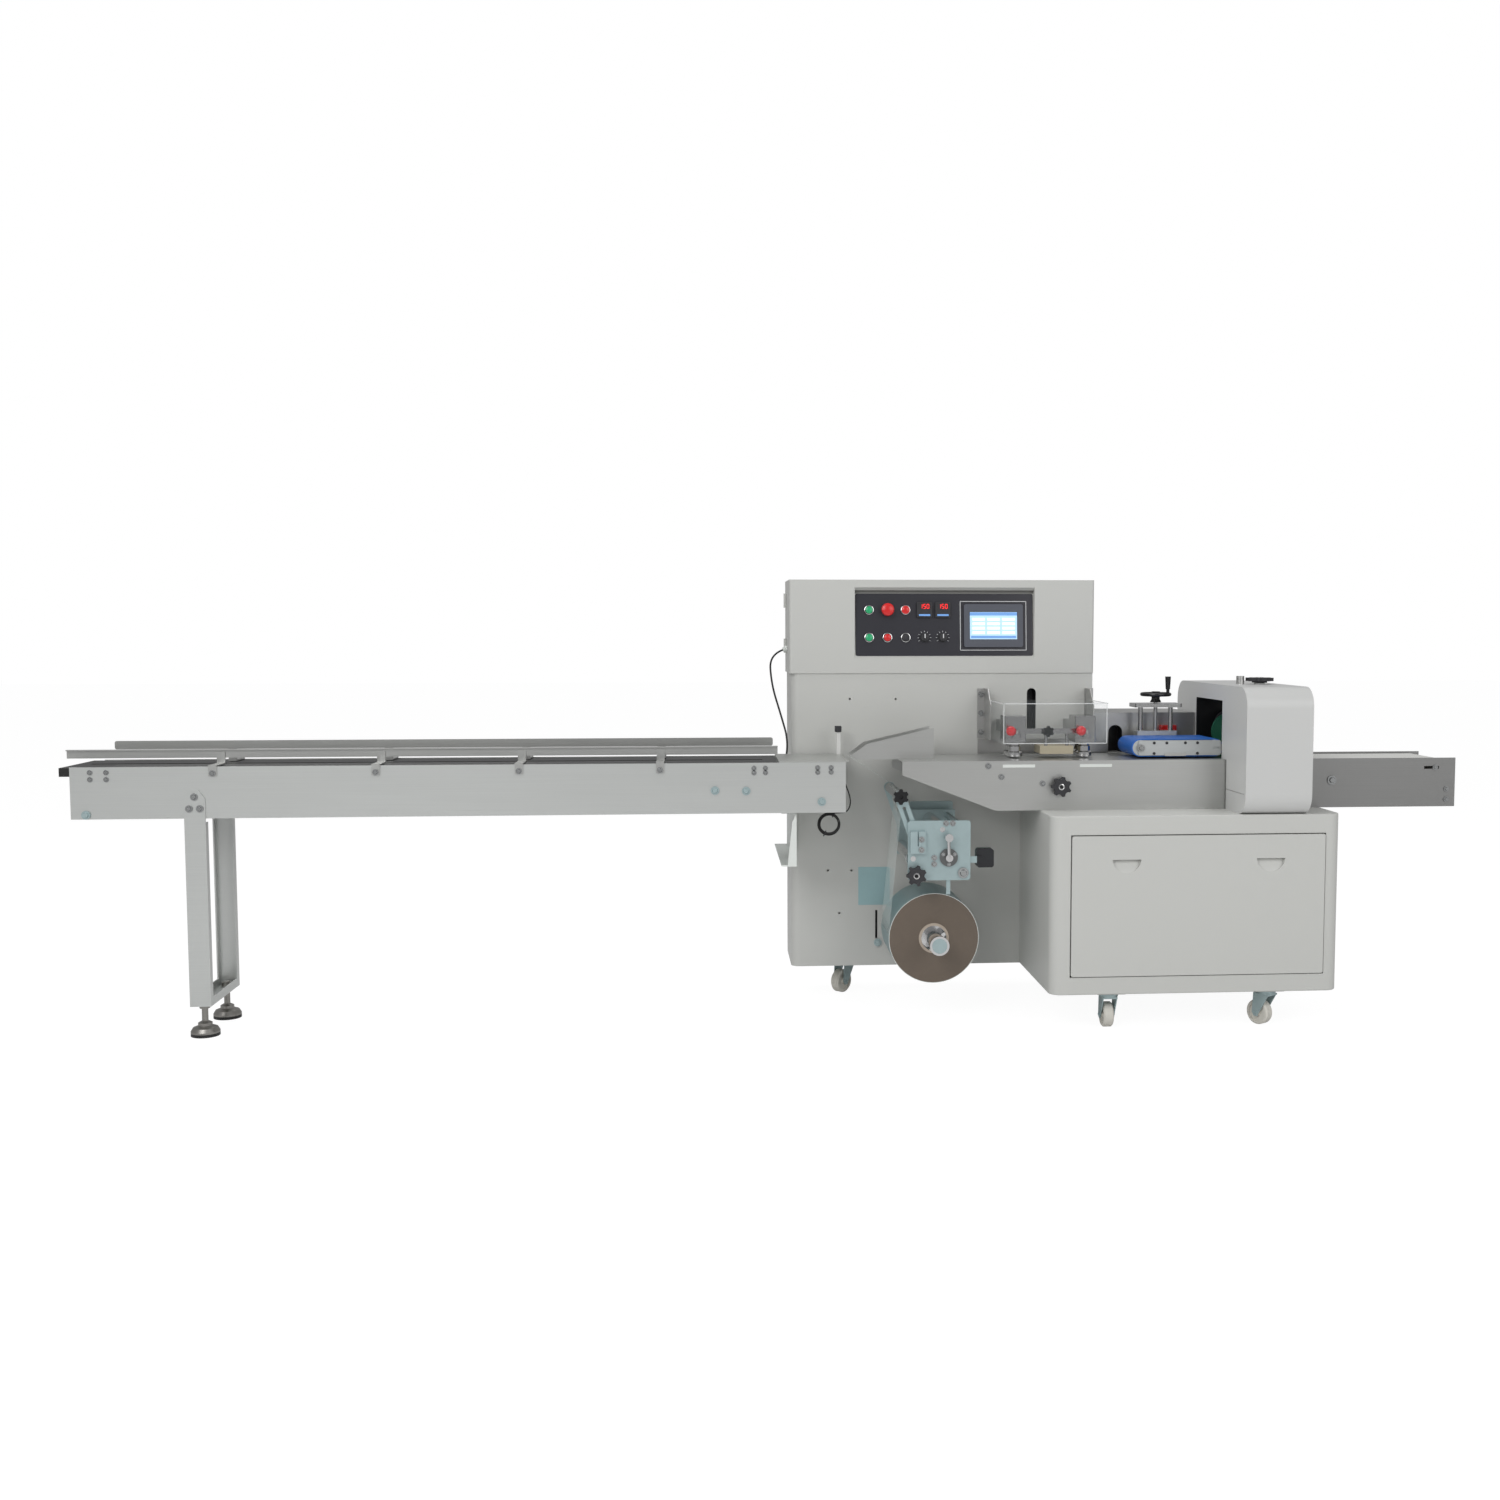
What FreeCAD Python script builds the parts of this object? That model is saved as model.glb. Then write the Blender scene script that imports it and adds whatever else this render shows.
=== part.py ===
"""Horizontal flow wrapper: one STEP file per piece, millimetres, +X towards the outfeed, +Y to the back, +Z up."""
import FreeCAD, Part
import math
import os

V = FreeCAD.Vector

# ---- driving dimensions -------------------------------------------------------------------------------------
LENGTH = 4150.0
DEPTH = 750.0
BODY_BOTTOM = 113.0        # underside of the machine bodies, on their casters
DECK = 793.0               # top of the table and of the conveyor side plates
HOUSING_TOP = 643.0        # top of the front housing, underside of the table
CENTRE_Y = -56.0           # line the product travels along
SHEET = 5.0                # conveyor side plate

CABINET_FRONT = 120.0
CABINET_BACK = DEPTH / 2
CABINET_LEFT = 45.0
CABINET_RIGHT = 1010.0
CABINET_TOP = 1048.0
BOX_TOP = 1342.0

PLATE_FRONT = -197.0       # outer face of the infeed's front side plate
PLATE_REAR = 80.0          # outer face of its rear side plate
INFEED_LEFT = -2037.0
INFEED_RIGHT = 191.0
GUIDE_FRONT = -106.0       # product channel between the two guide rails
GUIDE_REAR = -6.0
END_HOLE_R = 3.3           # M6 screws at the conveyors' outer ends
INFEED_HOLE_X = (-1980.0, -1935.0)
INFEED_HOLE_Z = (758.0, 778.0)
OUTFEED_HOLE_X = (2047.5,)
OUTFEED_HOLE_Z = (665.0, 697.0)

LEG_X = -1691.0
LEG_WIDTH = 60.0
LEG_SHEET = 4.0
FOOT_R = 41.0
FOOT_Y = (-162.0, 54.0)

TABLE_LEFT = 361.0
TABLE_RIGHT = 1370.0
TABLE_FRONT = -190.0

ROLL_X, ROLL_Z, ROLL_R = 462.0, 253.0, 137.0
CORE_R, CORE_BORE = 46.0, 38.0
REEL_R = 25.0
WEB_FRONT, WEB_REAR = -161.0, 49.0

PLATE_X0, PLATE_X1, PLATE_Z0, PLATE_Z1 = 374.0, 562.0, 440.0, 619.0
FILM_PLATE_Y = -224.0
TOP_ROLLER_X, TOP_ROLLER_Z, TOP_ROLLER_R = 351.0, 692.0, 15.0
GUIDE_ROLLER_X, GUIDE_ROLLER_Z, GUIDE_ROLLER_R = 390.0, 505.0, 20.0
FEED_ROLLER_X, FEED_ROLLER_Z, FEED_ROLLER_R = 478.0, 592.0, 20.0

SEAL_X = (720.0, 936.0)
SEAL_WHEEL_R = 24.0
SEAL_WHEEL_GAP = 0.6
LEVER_PIVOT_Y = -112.0
LEVER_PIN_R = 4.0
LEVER_REACH = (21.0, 22.0)   # from the pivot to the ball, to the left and to the front
LEVER_BALL_R = 15.0

JAW_X = 1442.0
JAW_UPPER_Z, JAW_LOWER_Z = 863.0, 735.0
JAW_TIP_R = 61.0
COVER_X0, COVER_X1 = 1348.0, 1548.0
COVER_TOP = 1018.0
TUNNEL_FRONT, TUNNEL_REAR, TUNNEL_TOP = -150.0, 110.0, 970.0

LIFT_Y = 60.0
LIFT_X = 1200.0
LIFT_POST_PITCH = 97.0
LIFT_POST_R = 7.5
LIFT_SCREW_R = 6.0

CASTER_R = 37.5
CASTER_TRAIL = 22.0
CASTER_AXLE_R = 4.0
CASTERS = (("front_left", 968.0, -296.0, 0.0), ("front_right", 1450.0, -296.0, 35.0),
           ("rear_left", 230.0, 262.0, 135.0), ("rear_right", 1458.0, 262.0, 135.0))

RUNNING = 0.06             # radial clearance of a turning fit


# ---- helpers ------------------------------------------------------------------------------------------------
def box(x0, x1, y0, y1, z0, z1):
    return Part.makeBox(x1 - x0, y1 - y0, z1 - z0, V(x0, y0, z0))


def rod_x(x0, x1, y, z, r):
    return Part.makeCylinder(r, x1 - x0, V(x0, y, z), V(1, 0, 0))


def rod_y(x, y0, y1, z, r):
    return Part.makeCylinder(r, y1 - y0, V(x, y0, z), V(0, 1, 0))


def rod_z(x, y, z0, z1, r):
    return Part.makeCylinder(r, z1 - z0, V(x, y, z0), V(0, 0, 1))


def pulled(points, travel):
    """Closed outline of vectors, pulled along travel."""
    return Part.Face(Part.makePolygon(points + points[:1])).extrude(travel)


def profile_y(points, y0, y1):
    return pulled([V(x, y0, z) for x, z in points], V(0, y1 - y0, 0))


def profile_x(points, x0, x1):
    return pulled([V(x0, y, z) for y, z in points], V(x1 - x0, 0, 0))


def profile_z(points, z0, z1):
    return pulled([V(x, y, z0) for x, y in points], V(0, 0, z1 - z0))


def joined(shapes):
    first, rest = shapes[0], shapes[1:]
    return first.fuse(rest).removeSplitter() if rest else first


def cut(shape, tools):
    for tool in tools:
        shape = shape.cut(tool)
    return shape


def rounded(shape, radius, axis, keep=lambda p: True):
    """Fillet the straight edges that run along axis and whose middle point passes keep."""
    edges = []
    for edge in shape.Edges:
        a, b = edge.Vertexes[0].Point, edge.Vertexes[-1].Point
        run = b.sub(a)
        if run.Length > 1e-6 and abs(run.normalize().dot(axis)) > 0.999 and keep(edge.CenterOfMass):
            edges.append(edge)
    return shape.makeFillet(radius, edges)


def stadium_y(x0, x1, z0, z1, y0, y1):
    """Bar along X with round ends, as a belt runs round two pulleys."""
    r = (z1 - z0) / 2
    mid = z0 + r
    return joined([box(x0 + r, x1 - r, y0, y1, z0, z1), rod_y(x0 + r, y0, y1, mid, r), rod_y(x1 - r, y0, y1, mid, r)])


def turned_z(outline):
    """Closed outline of radius and height pairs, turned about the Z axis."""
    section = Part.Face(Part.makePolygon([V(r, 0, z) for r, z in outline + outline[:1]]))
    return section.revolve(V(0, 0, 0), V(0, 0, 1), 360)


def round_section(centre_r, radius, sides, first, last):
    """Points on a circle in the radius and height plane, from one angle to another in degrees."""
    turns = [math.radians(first + (last - first) * i / sides) for i in range(sides + 1)]
    return [(centre_r + radius * math.cos(turn), radius * math.sin(turn)) for turn in turns]


def ring_z(ring_r, tube_r, sides):
    """Ring about the Z axis with a many-sided section, so that it has few facets."""
    return turned_z(round_section(ring_r, tube_r, sides, 0, 360)[:-1])


def ball(radius, x, y, z):
    """Ball turned from a many-sided half circle, so that it has few facets."""
    arc = round_section(0, radius, 12, -90, 90)
    arc[0], arc[-1] = (0, -radius), (0, radius)
    turned = turned_z(arc)
    turned.translate(V(x, y, z))
    return turned


def star_grip(radius, height, lobes, bore):
    """Hand knob standing on z = 0: a scalloped rim on a lower boss, with the hub left open."""
    grip = Part.makeCylinder(radius, height * 0.7, V(0, 0, height * 0.3))
    for i in range(lobes):
        turn = 2 * math.pi * i / lobes
        notch = V(radius * 1.10 * math.cos(turn), radius * 1.10 * math.sin(turn), 0)
        grip = grip.cut(Part.makeCylinder(radius * 0.34, height, notch))
    grip = grip.fuse(Part.makeCylinder(radius * 0.55, height * 0.3 + 1))
    return grip.cut(Part.makeCylinder(bore, height * 0.35, V(0, 0, height * 0.65)))


def facing_front(shape, x, y, z):
    """Turn a shape built along +Z to face -Y, then move its foot to x, y, z."""
    turned = shape.copy()
    turned.rotate(V(0, 0, 0), V(1, 0, 0), 90)
    turned.translate(V(x, y, z))
    return turned


def export(name, shape):
    if isinstance(shape, (list, tuple)):
        shape = Part.makeCompound(list(shape))
    assert shape.isValid(), name
    shape.exportStep("parts/" + name + ".step")


# ---- infeed conveyor ----------------------------------------------------------------------------------------
def end_holes(columns, rows, y0, y1):
    """Screw holes on a grid of columns and rows, bored from y0 to y1."""
    return [rod_y(x, y0, y1, z, END_HOLE_R) for x in columns for z in rows]


def infeed_side_plates():
    holes = end_holes(INFEED_HOLE_X, INFEED_HOLE_Z, PLATE_FRONT - 1, PLATE_REAR + 1)
    front = box(INFEED_LEFT, INFEED_RIGHT, PLATE_FRONT, PLATE_FRONT + SHEET, HOUSING_TOP, DECK)
    rear = box(INFEED_LEFT, INFEED_RIGHT, PLATE_REAR - SHEET, PLATE_REAR, HOUSING_TOP, DECK)
    return [cut(front, holes), cut(rear, holes)]


def guide_rails():
    front = box(-2075, -8, GUIDE_FRONT - 6, GUIDE_FRONT, 812, 837)
    rear = box(-1977, -18, GUIDE_REAR, GUIDE_REAR + 6, 830, 855)
    lip = box(-2075, -8, GUIDE_FRONT - 14, GUIDE_FRONT - 6, 834, 837)
    return [joined([front, lip]), rounded(rear, 6, V(0, 1, 0))]


def infeed_bed():
    """Folded sheet that runs under the guides, slotted for the pushers, and the dead plate that bridges to the former."""
    left, right, top = -2068, -12, DECK - 2
    sheet = box(left, right, PLATE_FRONT + SHEET, PLATE_REAR - SHEET, top - 3, top)
    folds = [box(left, right, PLATE_FRONT + SHEET, PLATE_FRONT + SHEET + 3, top - 25, top),
             box(left, right, PLATE_REAR - SHEET - 3, PLATE_REAR - SHEET, top - 25, top)]
    slot = box(left + 40, right - 40, CENTRE_Y - 9, CENTRE_Y + 9, top - 4, top + 1)
    holes = end_holes(INFEED_HOLE_X, INFEED_HOLE_Z, PLATE_FRONT + SHEET - 1, PLATE_REAR - SHEET + 1)
    return [cut(joined([sheet] + folds), [slot] + holes), box(-8, 200, -195, 87, DECK, DECK + 4)]


def rail_strap(x, front):
    """Bent strap from a side plate, over its top edge, to a guide rail."""
    w, t = 24, 4
    if front:
        outer, rail, top = PLATE_FRONT, GUIDE_FRONT - 6, 830
        pieces = [box(x, x + w, outer - t, outer, DECK - 28, DECK + t), box(x, x + w, outer - t, rail, DECK, DECK + t),
                  box(x, x + w, rail - t, rail, DECK, top)]
    else:
        outer, rail, top = PLATE_REAR, GUIDE_REAR + 6, 850
        pieces = [box(x, x + w, outer, outer + t, DECK - 28, DECK + t), box(x, x + w, rail, outer + t, DECK, DECK + t),
                  box(x, x + w, rail, rail + t, DECK, top)]
    return joined(pieces)


def infeed_fixings():
    bars = [rod_y(x, PLATE_FRONT + SHEET, PLATE_REAR - SHEET, z, 9)
            for x, z in ((-1990, 668), (-1380, 680), (-780, 680), (-180, 680), (160, 668))]
    straps = [rail_strap(x, front) for x in (-1650, -1190, -780, -370) for front in (True, False)]
    post = joined([box(184, 196, 56, 68, DECK + 4, 868), box(180, 198, 50, 72, 868, 884)])
    return bars + straps + [post]


# ---- leg and bracket under the infeed -----------------------------------------------------------------------
def leg_upright(outer, inward):
    """Folded channel with a roof-shaped head; outer is the face it shows, inward is the side its flanges point to."""
    half, shoulder, apex, foot = LEG_WIDTH / 2, 700, 726, 93
    ys = sorted((outer, outer + inward * LEG_SHEET))
    web = profile_y([(LEG_X - half, foot), (LEG_X + half, foot), (LEG_X + half, shoulder), (LEG_X + 12, apex),
                     (LEG_X - 12, apex), (LEG_X - half, shoulder)], ys[0], ys[1])
    flange = sorted((outer, outer + inward * 24))
    sides = [box(x, x + LEG_SHEET, flange[0], flange[1], foot, HOUSING_TOP - 12)
             for x in (LEG_X - half, LEG_X + half - LEG_SHEET)]
    return [web] + sides


def leg_frame():
    front, rear = PLATE_FRONT - LEG_SHEET, PLATE_REAR + LEG_SHEET
    half = LEG_WIDTH / 2
    base = box(LEG_X - half, LEG_X + half, front, rear, 93, 98)
    lips = [box(x, x + LEG_SHEET, front, rear, 93, 118) for x in (LEG_X - half, LEG_X + half - LEG_SHEET)]
    frame = joined(leg_upright(front, 1) + leg_upright(rear, -1) + [base] + lips)
    bolts = [rod_y(LEG_X + dx, front - 1, rear + 1, z, 4.2) for dx, z in ((0, 706), (-15, 672), (15, 672))]
    studs = [rod_z(LEG_X, y, 90, 100, 9.3) for y in FOOT_Y]
    return cut(frame, bolts + studs)


def levelling_foot(y):
    outline = [(0, 0), (FOOT_R, 0), (FOOT_R, 14), (FOOT_R - 6, 24), (20, 30), (20, 38), (9, 44), (9, 112), (0, 112)]
    turned = turned_z(outline)
    nuts = [Part.makeCylinder(15, 12, V(0, 0, z)) for z in (81, 98)]
    foot = joined([turned] + nuts)
    foot.translate(V(LEG_X, y, 0))
    return foot


def levelling_feet():
    return [levelling_foot(y) for y in FOOT_Y]


def support_bracket():
    front, rear, low = -178, 300, 480
    return joined([box(40, CABINET_LEFT, front, rear, low, HOUSING_TOP), box(0, CABINET_LEFT, front, rear, low, low + 4),
                   box(0, CABINET_LEFT, front, 95, HOUSING_TOP - 4, HOUSING_TOP),
                   profile_y([(18, low), (45, low), (45, HOUSING_TOP), (32, HOUSING_TOP - 30)], front - 3, front)])


# ---- machine bodies -----------------------------------------------------------------------------------------
def caster_pad(index):
    _, x, y, _ = CASTERS[index]
    return box(x - 42, x + 42, y - 36, y + 36, BODY_BOTTOM - 4, BODY_BOTTOM)


def cabinet_body():
    body = box(CABINET_LEFT, CABINET_RIGHT, CABINET_FRONT, CABINET_BACK, BODY_BOTTOM, CABINET_TOP)
    body = rounded(body, 27, V(0, 0, 1), lambda p: p.x < CABINET_LEFT + 1 and p.y < CABINET_FRONT + 1)
    slot_w, slot_x, slot_top = 14.5, 812.5, 985
    tools = [rod_y(ROLL_X, CABINET_FRONT - 1, CABINET_FRONT + 32, ROLL_Z, REEL_R + RUNNING),
             box(slot_x - slot_w, slot_x + slot_w, CABINET_FRONT - 1, CABINET_FRONT + 45, 860, slot_top),
             rod_y(slot_x, CABINET_FRONT - 1, CABINET_FRONT + 45, slot_top, slot_w),
             box(313, 320, CABINET_FRONT - 1, CABINET_FRONT + 20, 200, 291)]
    for x, z in ((161, 421), (237, 420), (198, 283), (231, 967), (377, 966)):
        tools.append(rod_y(x, CABINET_FRONT - 1, CABINET_FRONT + 15, z, 3.5))
    name_plate = box(258, 360, CABINET_FRONT - 1, CABINET_FRONT, 308, 431)
    return joined([cut(body, tools), name_plate, caster_pad(2)])


PANEL_X0, PANEL_X1, PANEL_Z0, PANEL_Z1 = 246.0, 819.0, 1096.0, 1309.0
BOX_FRONT = CABINET_FRONT - 5
PANEL_DEPTH_LOW, PANEL_DEPTH_HIGH = 2.0, 20.0
PANEL_RISE = PANEL_Z1 - 6 - PANEL_Z0
PANEL_SLOPE = math.degrees(math.atan2(PANEL_DEPTH_HIGH - PANEL_DEPTH_LOW, PANEL_RISE))


def control_box():
    body = box(CABINET_LEFT - 5, CABINET_RIGHT + 2, BOX_FRONT, CABINET_BACK, CABINET_TOP, BOX_TOP)
    body = rounded(body, 8, V(0, 0, 1), lambda p: p.y < BOX_FRONT + 1)
    recess = profile_x([(BOX_FRONT - 1, PANEL_Z0), (BOX_FRONT + PANEL_DEPTH_LOW, PANEL_Z0),
                        (BOX_FRONT + PANEL_DEPTH_HIGH, PANEL_Z1 - 6), (BOX_FRONT - 1, PANEL_Z1 + 10)], PANEL_X0, PANEL_X1)
    hinges = [rod_z(CABINET_LEFT - 9, 300, z, z + 46, 5) for z in (1110, 1256)]
    return joined([body.cut(recess)] + hinges)


def on_panel(shape, x, z, lift=0.0):
    """Stand a shape, built along +Z, on the sloping panel at x and height z."""
    placed = shape.copy()
    placed.rotate(V(0, 0, 0), V(1, 0, 0), 90 - PANEL_SLOPE)
    depth = PANEL_DEPTH_LOW + (PANEL_DEPTH_HIGH - PANEL_DEPTH_LOW) * (z - PANEL_Z0) / PANEL_RISE
    placed.translate(V(x, BOX_FRONT + depth - lift / math.cos(math.radians(PANEL_SLOPE)), z))
    return placed


PANEL_SHEET = 2.0


def control_panel():
    wide, tall = PANEL_X1 - PANEL_X0 - 6, PANEL_Z1 - PANEL_Z0 - 16
    sheet = Part.makeBox(wide, tall, PANEL_SHEET, V(-wide / 2, -tall / 2, 0))
    return on_panel(rounded(sheet, 6, V(0, 0, 1)), (PANEL_X0 + PANEL_X1) / 2, (PANEL_Z0 + PANEL_Z1) / 2 - 2)


def touch_screen():
    wide, tall, thick = 189, 136, 7
    bezel = Part.makeBox(wide, tall, thick, V(-wide / 2, -tall / 2, 0))
    bezel = rounded(bezel, 7, V(0, 0, 1))
    window = Part.makeBox(155, 90, 2, V(-77.5, -45, thick - 1.5))
    return on_panel(bezel.cut(window), 688.5, 1197.5, PANEL_SHEET)


def push_button(cap_r):
    return joined([Part.makeCylinder(14.5, 4), Part.makeCylinder(cap_r, 9)])


def mushroom_button():
    head = Part.makeCone(18, 20, 8, V(0, 0, 14)).fuse(Part.makeCone(20, 15, 4, V(0, 0, 22)))
    return joined([Part.makeCylinder(15, 5), Part.makeCylinder(10, 15), head])


def controller():
    frame = rounded(Part.makeBox(48, 48, 9, V(-24, -24, 0)), 3, V(0, 0, 1))
    return frame.cut(Part.makeBox(38, 18, 2, V(-19, 2, 8)))


def rotary_knob():
    return joined([Part.makeCylinder(15, 3), Part.makeCone(13, 12, 14), Part.makeBox(4, 24, 5, V(-2, -11, 12))])


def panel_buttons():
    upper, lower = 1247, 1160
    layout = [(push_button(11), 292, upper), (mushroom_button(), 350, upper), (push_button(12.5), 408, upper),
              (controller(), 468, upper), (controller(), 526.5, upper), (push_button(11), 292, lower),
              (push_button(11), 350, lower), (push_button(11), 408, lower), (rotary_knob(), 468, lower),
              (rotary_knob(), 526.5, lower)]
    return [on_panel(shape, x, z, PANEL_SHEET) for shape, x, z in layout]


def rear_body():
    body = box(CABINET_RIGHT, 1648, CABINET_FRONT, CABINET_BACK, BODY_BOTTOM, DECK)
    body = rounded(body, 20, V(0, 0, 1), lambda p: p.x > 1640 and p.y > 300)
    return joined([body, caster_pad(3)])


def angle_bracket(x, leg_x):
    """Upright angle on the cabinet: a drilled flange flat on its face and a leg that comes forward to the guard."""
    flange = cut(box(x, x + 28, CABINET_FRONT - 4, CABINET_FRONT, 841, 999),
                 [rod_y(x + 12, CABINET_FRONT - 5, CABINET_FRONT + 1, z, 3.5) for z in (860, 920, 980)])
    leg = profile_x([(10, 841), (CABINET_FRONT, 841), (CABINET_FRONT, 999), (60, 999), (10, 950)], leg_x, leg_x + 3)
    return joined([flange, leg])


def steel_back():
    back = box(1010, 1346, CABINET_FRONT, CABINET_BACK, DECK, 920)
    arch = joined([box(1064, 1109, CABINET_FRONT - 1, CABINET_FRONT + 60, DECK - 1, 858),
                   rod_y(1086.5, CABINET_FRONT - 1, CABINET_FRONT + 60, 858, 22.5)])
    strip = box(640, 1060, CABINET_FRONT - 3, CABINET_FRONT, DECK, 838)
    return [back.cut(arch), strip, angle_bracket(638, 661), angle_bracket(984, 987)]


HOUSING_X0, HOUSING_X1, HOUSING_FRONT = 780.0, 1651.0, -348.0
DOOR = (841.0, 1601.0, 168.0, 584.0)


def front_housing():
    body = box(HOUSING_X0, HOUSING_X1, HOUSING_FRONT, CABINET_FRONT, BODY_BOTTOM, HOUSING_TOP)
    body = rounded(body, 35, V(0, 0, 1), lambda p: p.y < HOUSING_FRONT + 1)
    body = rounded(body, 4, V(1, 0, 0), lambda p: p.y < HOUSING_FRONT + 1)
    pocket = box(DOOR[0] - 3, DOOR[1] + 3, HOUSING_FRONT - 1, HOUSING_FRONT + 20, DOOR[2] - 3, DOOR[3] + 3)
    return joined([body.cut(pocket), caster_pad(0), caster_pad(1)])


def finger_pull(x):
    """Crescent pocket: flat along the top, curved below, deepest under its lip."""
    arc = Part.Arc(V(x - 43, 0, 514), V(x, 0, 474), V(x + 43, 0, 514)).toShape()
    top = Part.makeLine(V(x + 43, 0, 514), V(x - 43, 0, 514))
    pocket = Part.Face(Part.Wire([arc, top])).extrude(V(0, 30, 0))
    pocket.translate(V(0, HOUSING_FRONT - 5, 0))
    slope = profile_x([(HOUSING_FRONT - 6, 470), (HOUSING_FRONT - 4, 474), (HOUSING_FRONT + 12, 514),
                       (HOUSING_FRONT - 6, 530)], x - 50, x + 50)
    return pocket.common(slope)


def front_door():
    panel = box(DOOR[0], DOOR[1], HOUSING_FRONT - 4, HOUSING_FRONT + 20, DOOR[2], DOOR[3])
    panel = rounded(panel, 6, V(0, 1, 0))
    return cut(panel, [finger_pull(1004), finger_pull(1437)])


# ---- table and forming box ----------------------------------------------------------------------------------
def table():
    skirt = [(TABLE_LEFT, DECK), (TABLE_LEFT, 752), (643, HOUSING_TOP), (TABLE_RIGHT, HOUSING_TOP), (TABLE_RIGHT, DECK)]
    top = box(TABLE_LEFT, TABLE_RIGHT, TABLE_FRONT, PLATE_REAR, DECK - 3, DECK)
    sides = [profile_y(skirt, TABLE_FRONT, TABLE_FRONT + 3), profile_y(skirt, PLATE_REAR - 3, PLATE_REAR)]
    stud_hole = rod_y(838, TABLE_FRONT - 1, TABLE_FRONT + 4, 716, 6 + RUNNING)
    ties = [box(x, x + 40, TABLE_FRONT + 3, PLATE_REAR - 3, HOUSING_TOP, HOUSING_TOP + 4) for x in (800, 1290)]
    brace = [box(700, 740, PLATE_REAR, CABINET_FRONT, 700, 704)]
    return joined([top] + sides + ties + brace).cut(stud_hole)


def hand_knob(x, y, z, radius, depth, stud_r, stud_end, lobes=7):
    """Lobed knob facing the front, with the stud it turns on running back from its foot."""
    grip = facing_front(star_grip(radius, depth, lobes, radius * 0.32), x, y, z)
    return joined([grip, rod_y(x, y - 2, stud_end, z, stud_r)])


def table_knob():
    return hand_knob(838, TABLE_FRONT - 6, 716, 30, 24, 6, TABLE_FRONT + 14)


def forming_box():
    """Folding box the film is drawn round: two shaped cheeks joined by a floor that stops short of its tip."""
    cheek = [(215, 805), (262, 840), (312, 852), (467, 888), (467, DECK + 1), (230, DECK + 1)]
    cheeks = [profile_y(cheek, GUIDE_FRONT, GUIDE_FRONT + 2), profile_y(cheek, GUIDE_REAR - 2, GUIDE_REAR)]
    floor = box(236, 467, GUIDE_FRONT, GUIDE_REAR, DECK, DECK + 3)
    return joined(cheeks + [floor])


# ---- film unit ----------------------------------------------------------------------------------------------
def film_roll():
    return cut(rod_y(ROLL_X, WEB_FRONT, WEB_REAR, ROLL_Z, ROLL_R),
               [rod_y(ROLL_X, WEB_FRONT - 1, WEB_REAR + 1, ROLL_Z, CORE_BORE)])


def reel_shaft():
    shaft = rod_y(ROLL_X, -279, CABINET_FRONT + 28, ROLL_Z, REEL_R)
    chuck = rod_y(ROLL_X, WEB_FRONT + 20, WEB_REAR - 10, ROLL_Z, CORE_BORE)
    end_disc = rod_y(ROLL_X, -285, -275, ROLL_Z, 29)
    keys = []
    for turn in (60, 200):
        key = box(ROLL_X - 5, ROLL_X + 5, WEB_FRONT - 24, WEB_FRONT + 22, ROLL_Z + 20, ROLL_Z + 36)
        key.rotate(V(ROLL_X, 0, ROLL_Z), V(0, 1, 0), turn)
        keys.append(key)
    return joined([shaft, chuck, end_disc] + keys)


def slotted_arm(y0, y1):
    """Flat arm from the plate's edge up to the top roller, with a long slot and a round head."""
    foot = V(392, y0, 575)
    head = V(TOP_ROLLER_X, y0, TOP_ROLLER_Z)
    run = head.sub(foot)
    unit = V(run).normalize()
    side = V(unit.z, 0, -unit.x)
    corners = [foot.add(side * 17), foot.sub(side * 17), head.sub(side * 17), head.add(side * 17)]
    arm = joined([pulled(corners, V(0, y1 - y0, 0)), rod_y(head.x, y0, y1, head.z, 17)])
    slot_ends = [foot.add(unit * 22), head.sub(unit * 34)]
    slot = pulled([slot_ends[0].add(side * 4.5), slot_ends[0].sub(side * 4.5), slot_ends[1].sub(side * 4.5),
                   slot_ends[1].add(side * 4.5)], V(0, y1 - y0, 0))
    return cut(arm, [slot, rod_y(head.x, y0 - 1, y1 + 1, head.z, 8 + RUNNING)])


def film_bracket():
    """Front plate, its tie bars back to the cabinet, the slotted arms and the small block and cap on its face."""
    y0, y1 = FILM_PLATE_Y, FILM_PLATE_Y + 8
    plate = rounded(box(PLATE_X0, PLATE_X1, y0, y1, PLATE_Z0, PLATE_Z1), 9, V(0, 1, 0))
    cap = rod_y(496, y0 - 8, y0, 509, 27)
    block = cut(box(380, 426, y0 - 14, y0, 522, 588), [box(401, 405, y0 - 15, y0 - 6, 545, 589)])
    ties = [rod_y(540, y1, CABINET_FRONT, 462, 10), rod_y(535, y1, CABINET_FRONT, 600, 10)]
    pad = rounded(box(423, 560, CABINET_FRONT - 8, CABINET_FRONT, 576, 640), 6, V(0, 1, 0))
    rear_plate = box(376, 560, 66, 74, 480, 619)
    arms = [slotted_arm(y1, y1 + 6), slotted_arm(60, 66)]
    link = [box(378, 404, y1, y1 + 6, 560, 590), box(378, 404, 60, 66, 560, 590)]
    hanger = box(491, 503, y1, y1 + 6, 396, PLATE_Z0 + 20)
    sensor_box = rounded(box(584, 635, y1 + 4, y1 + 44, 475, 531), 8, V(0, 1, 0))
    strap = box(540, 600, y1, y1 + 4, 490, 510)
    bores = [rod_y(FEED_ROLLER_X, y0 - 1, CABINET_FRONT - 4, FEED_ROLLER_Z, 8 + RUNNING),
             rod_y(GUIDE_ROLLER_X, y0 - 1, 90, GUIDE_ROLLER_Z, 8 + RUNNING),
             rod_y(496, y0 - 9, y0 + 9, 509, 5 + RUNNING), rod_y(397, y0 - 1, y1 + 1, 458, 6 + RUNNING)]
    solid = joined([plate, cap, block, pad, rear_plate, hanger, sensor_box, strap] + ties + arms + link)
    return cut(solid, bores)


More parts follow.
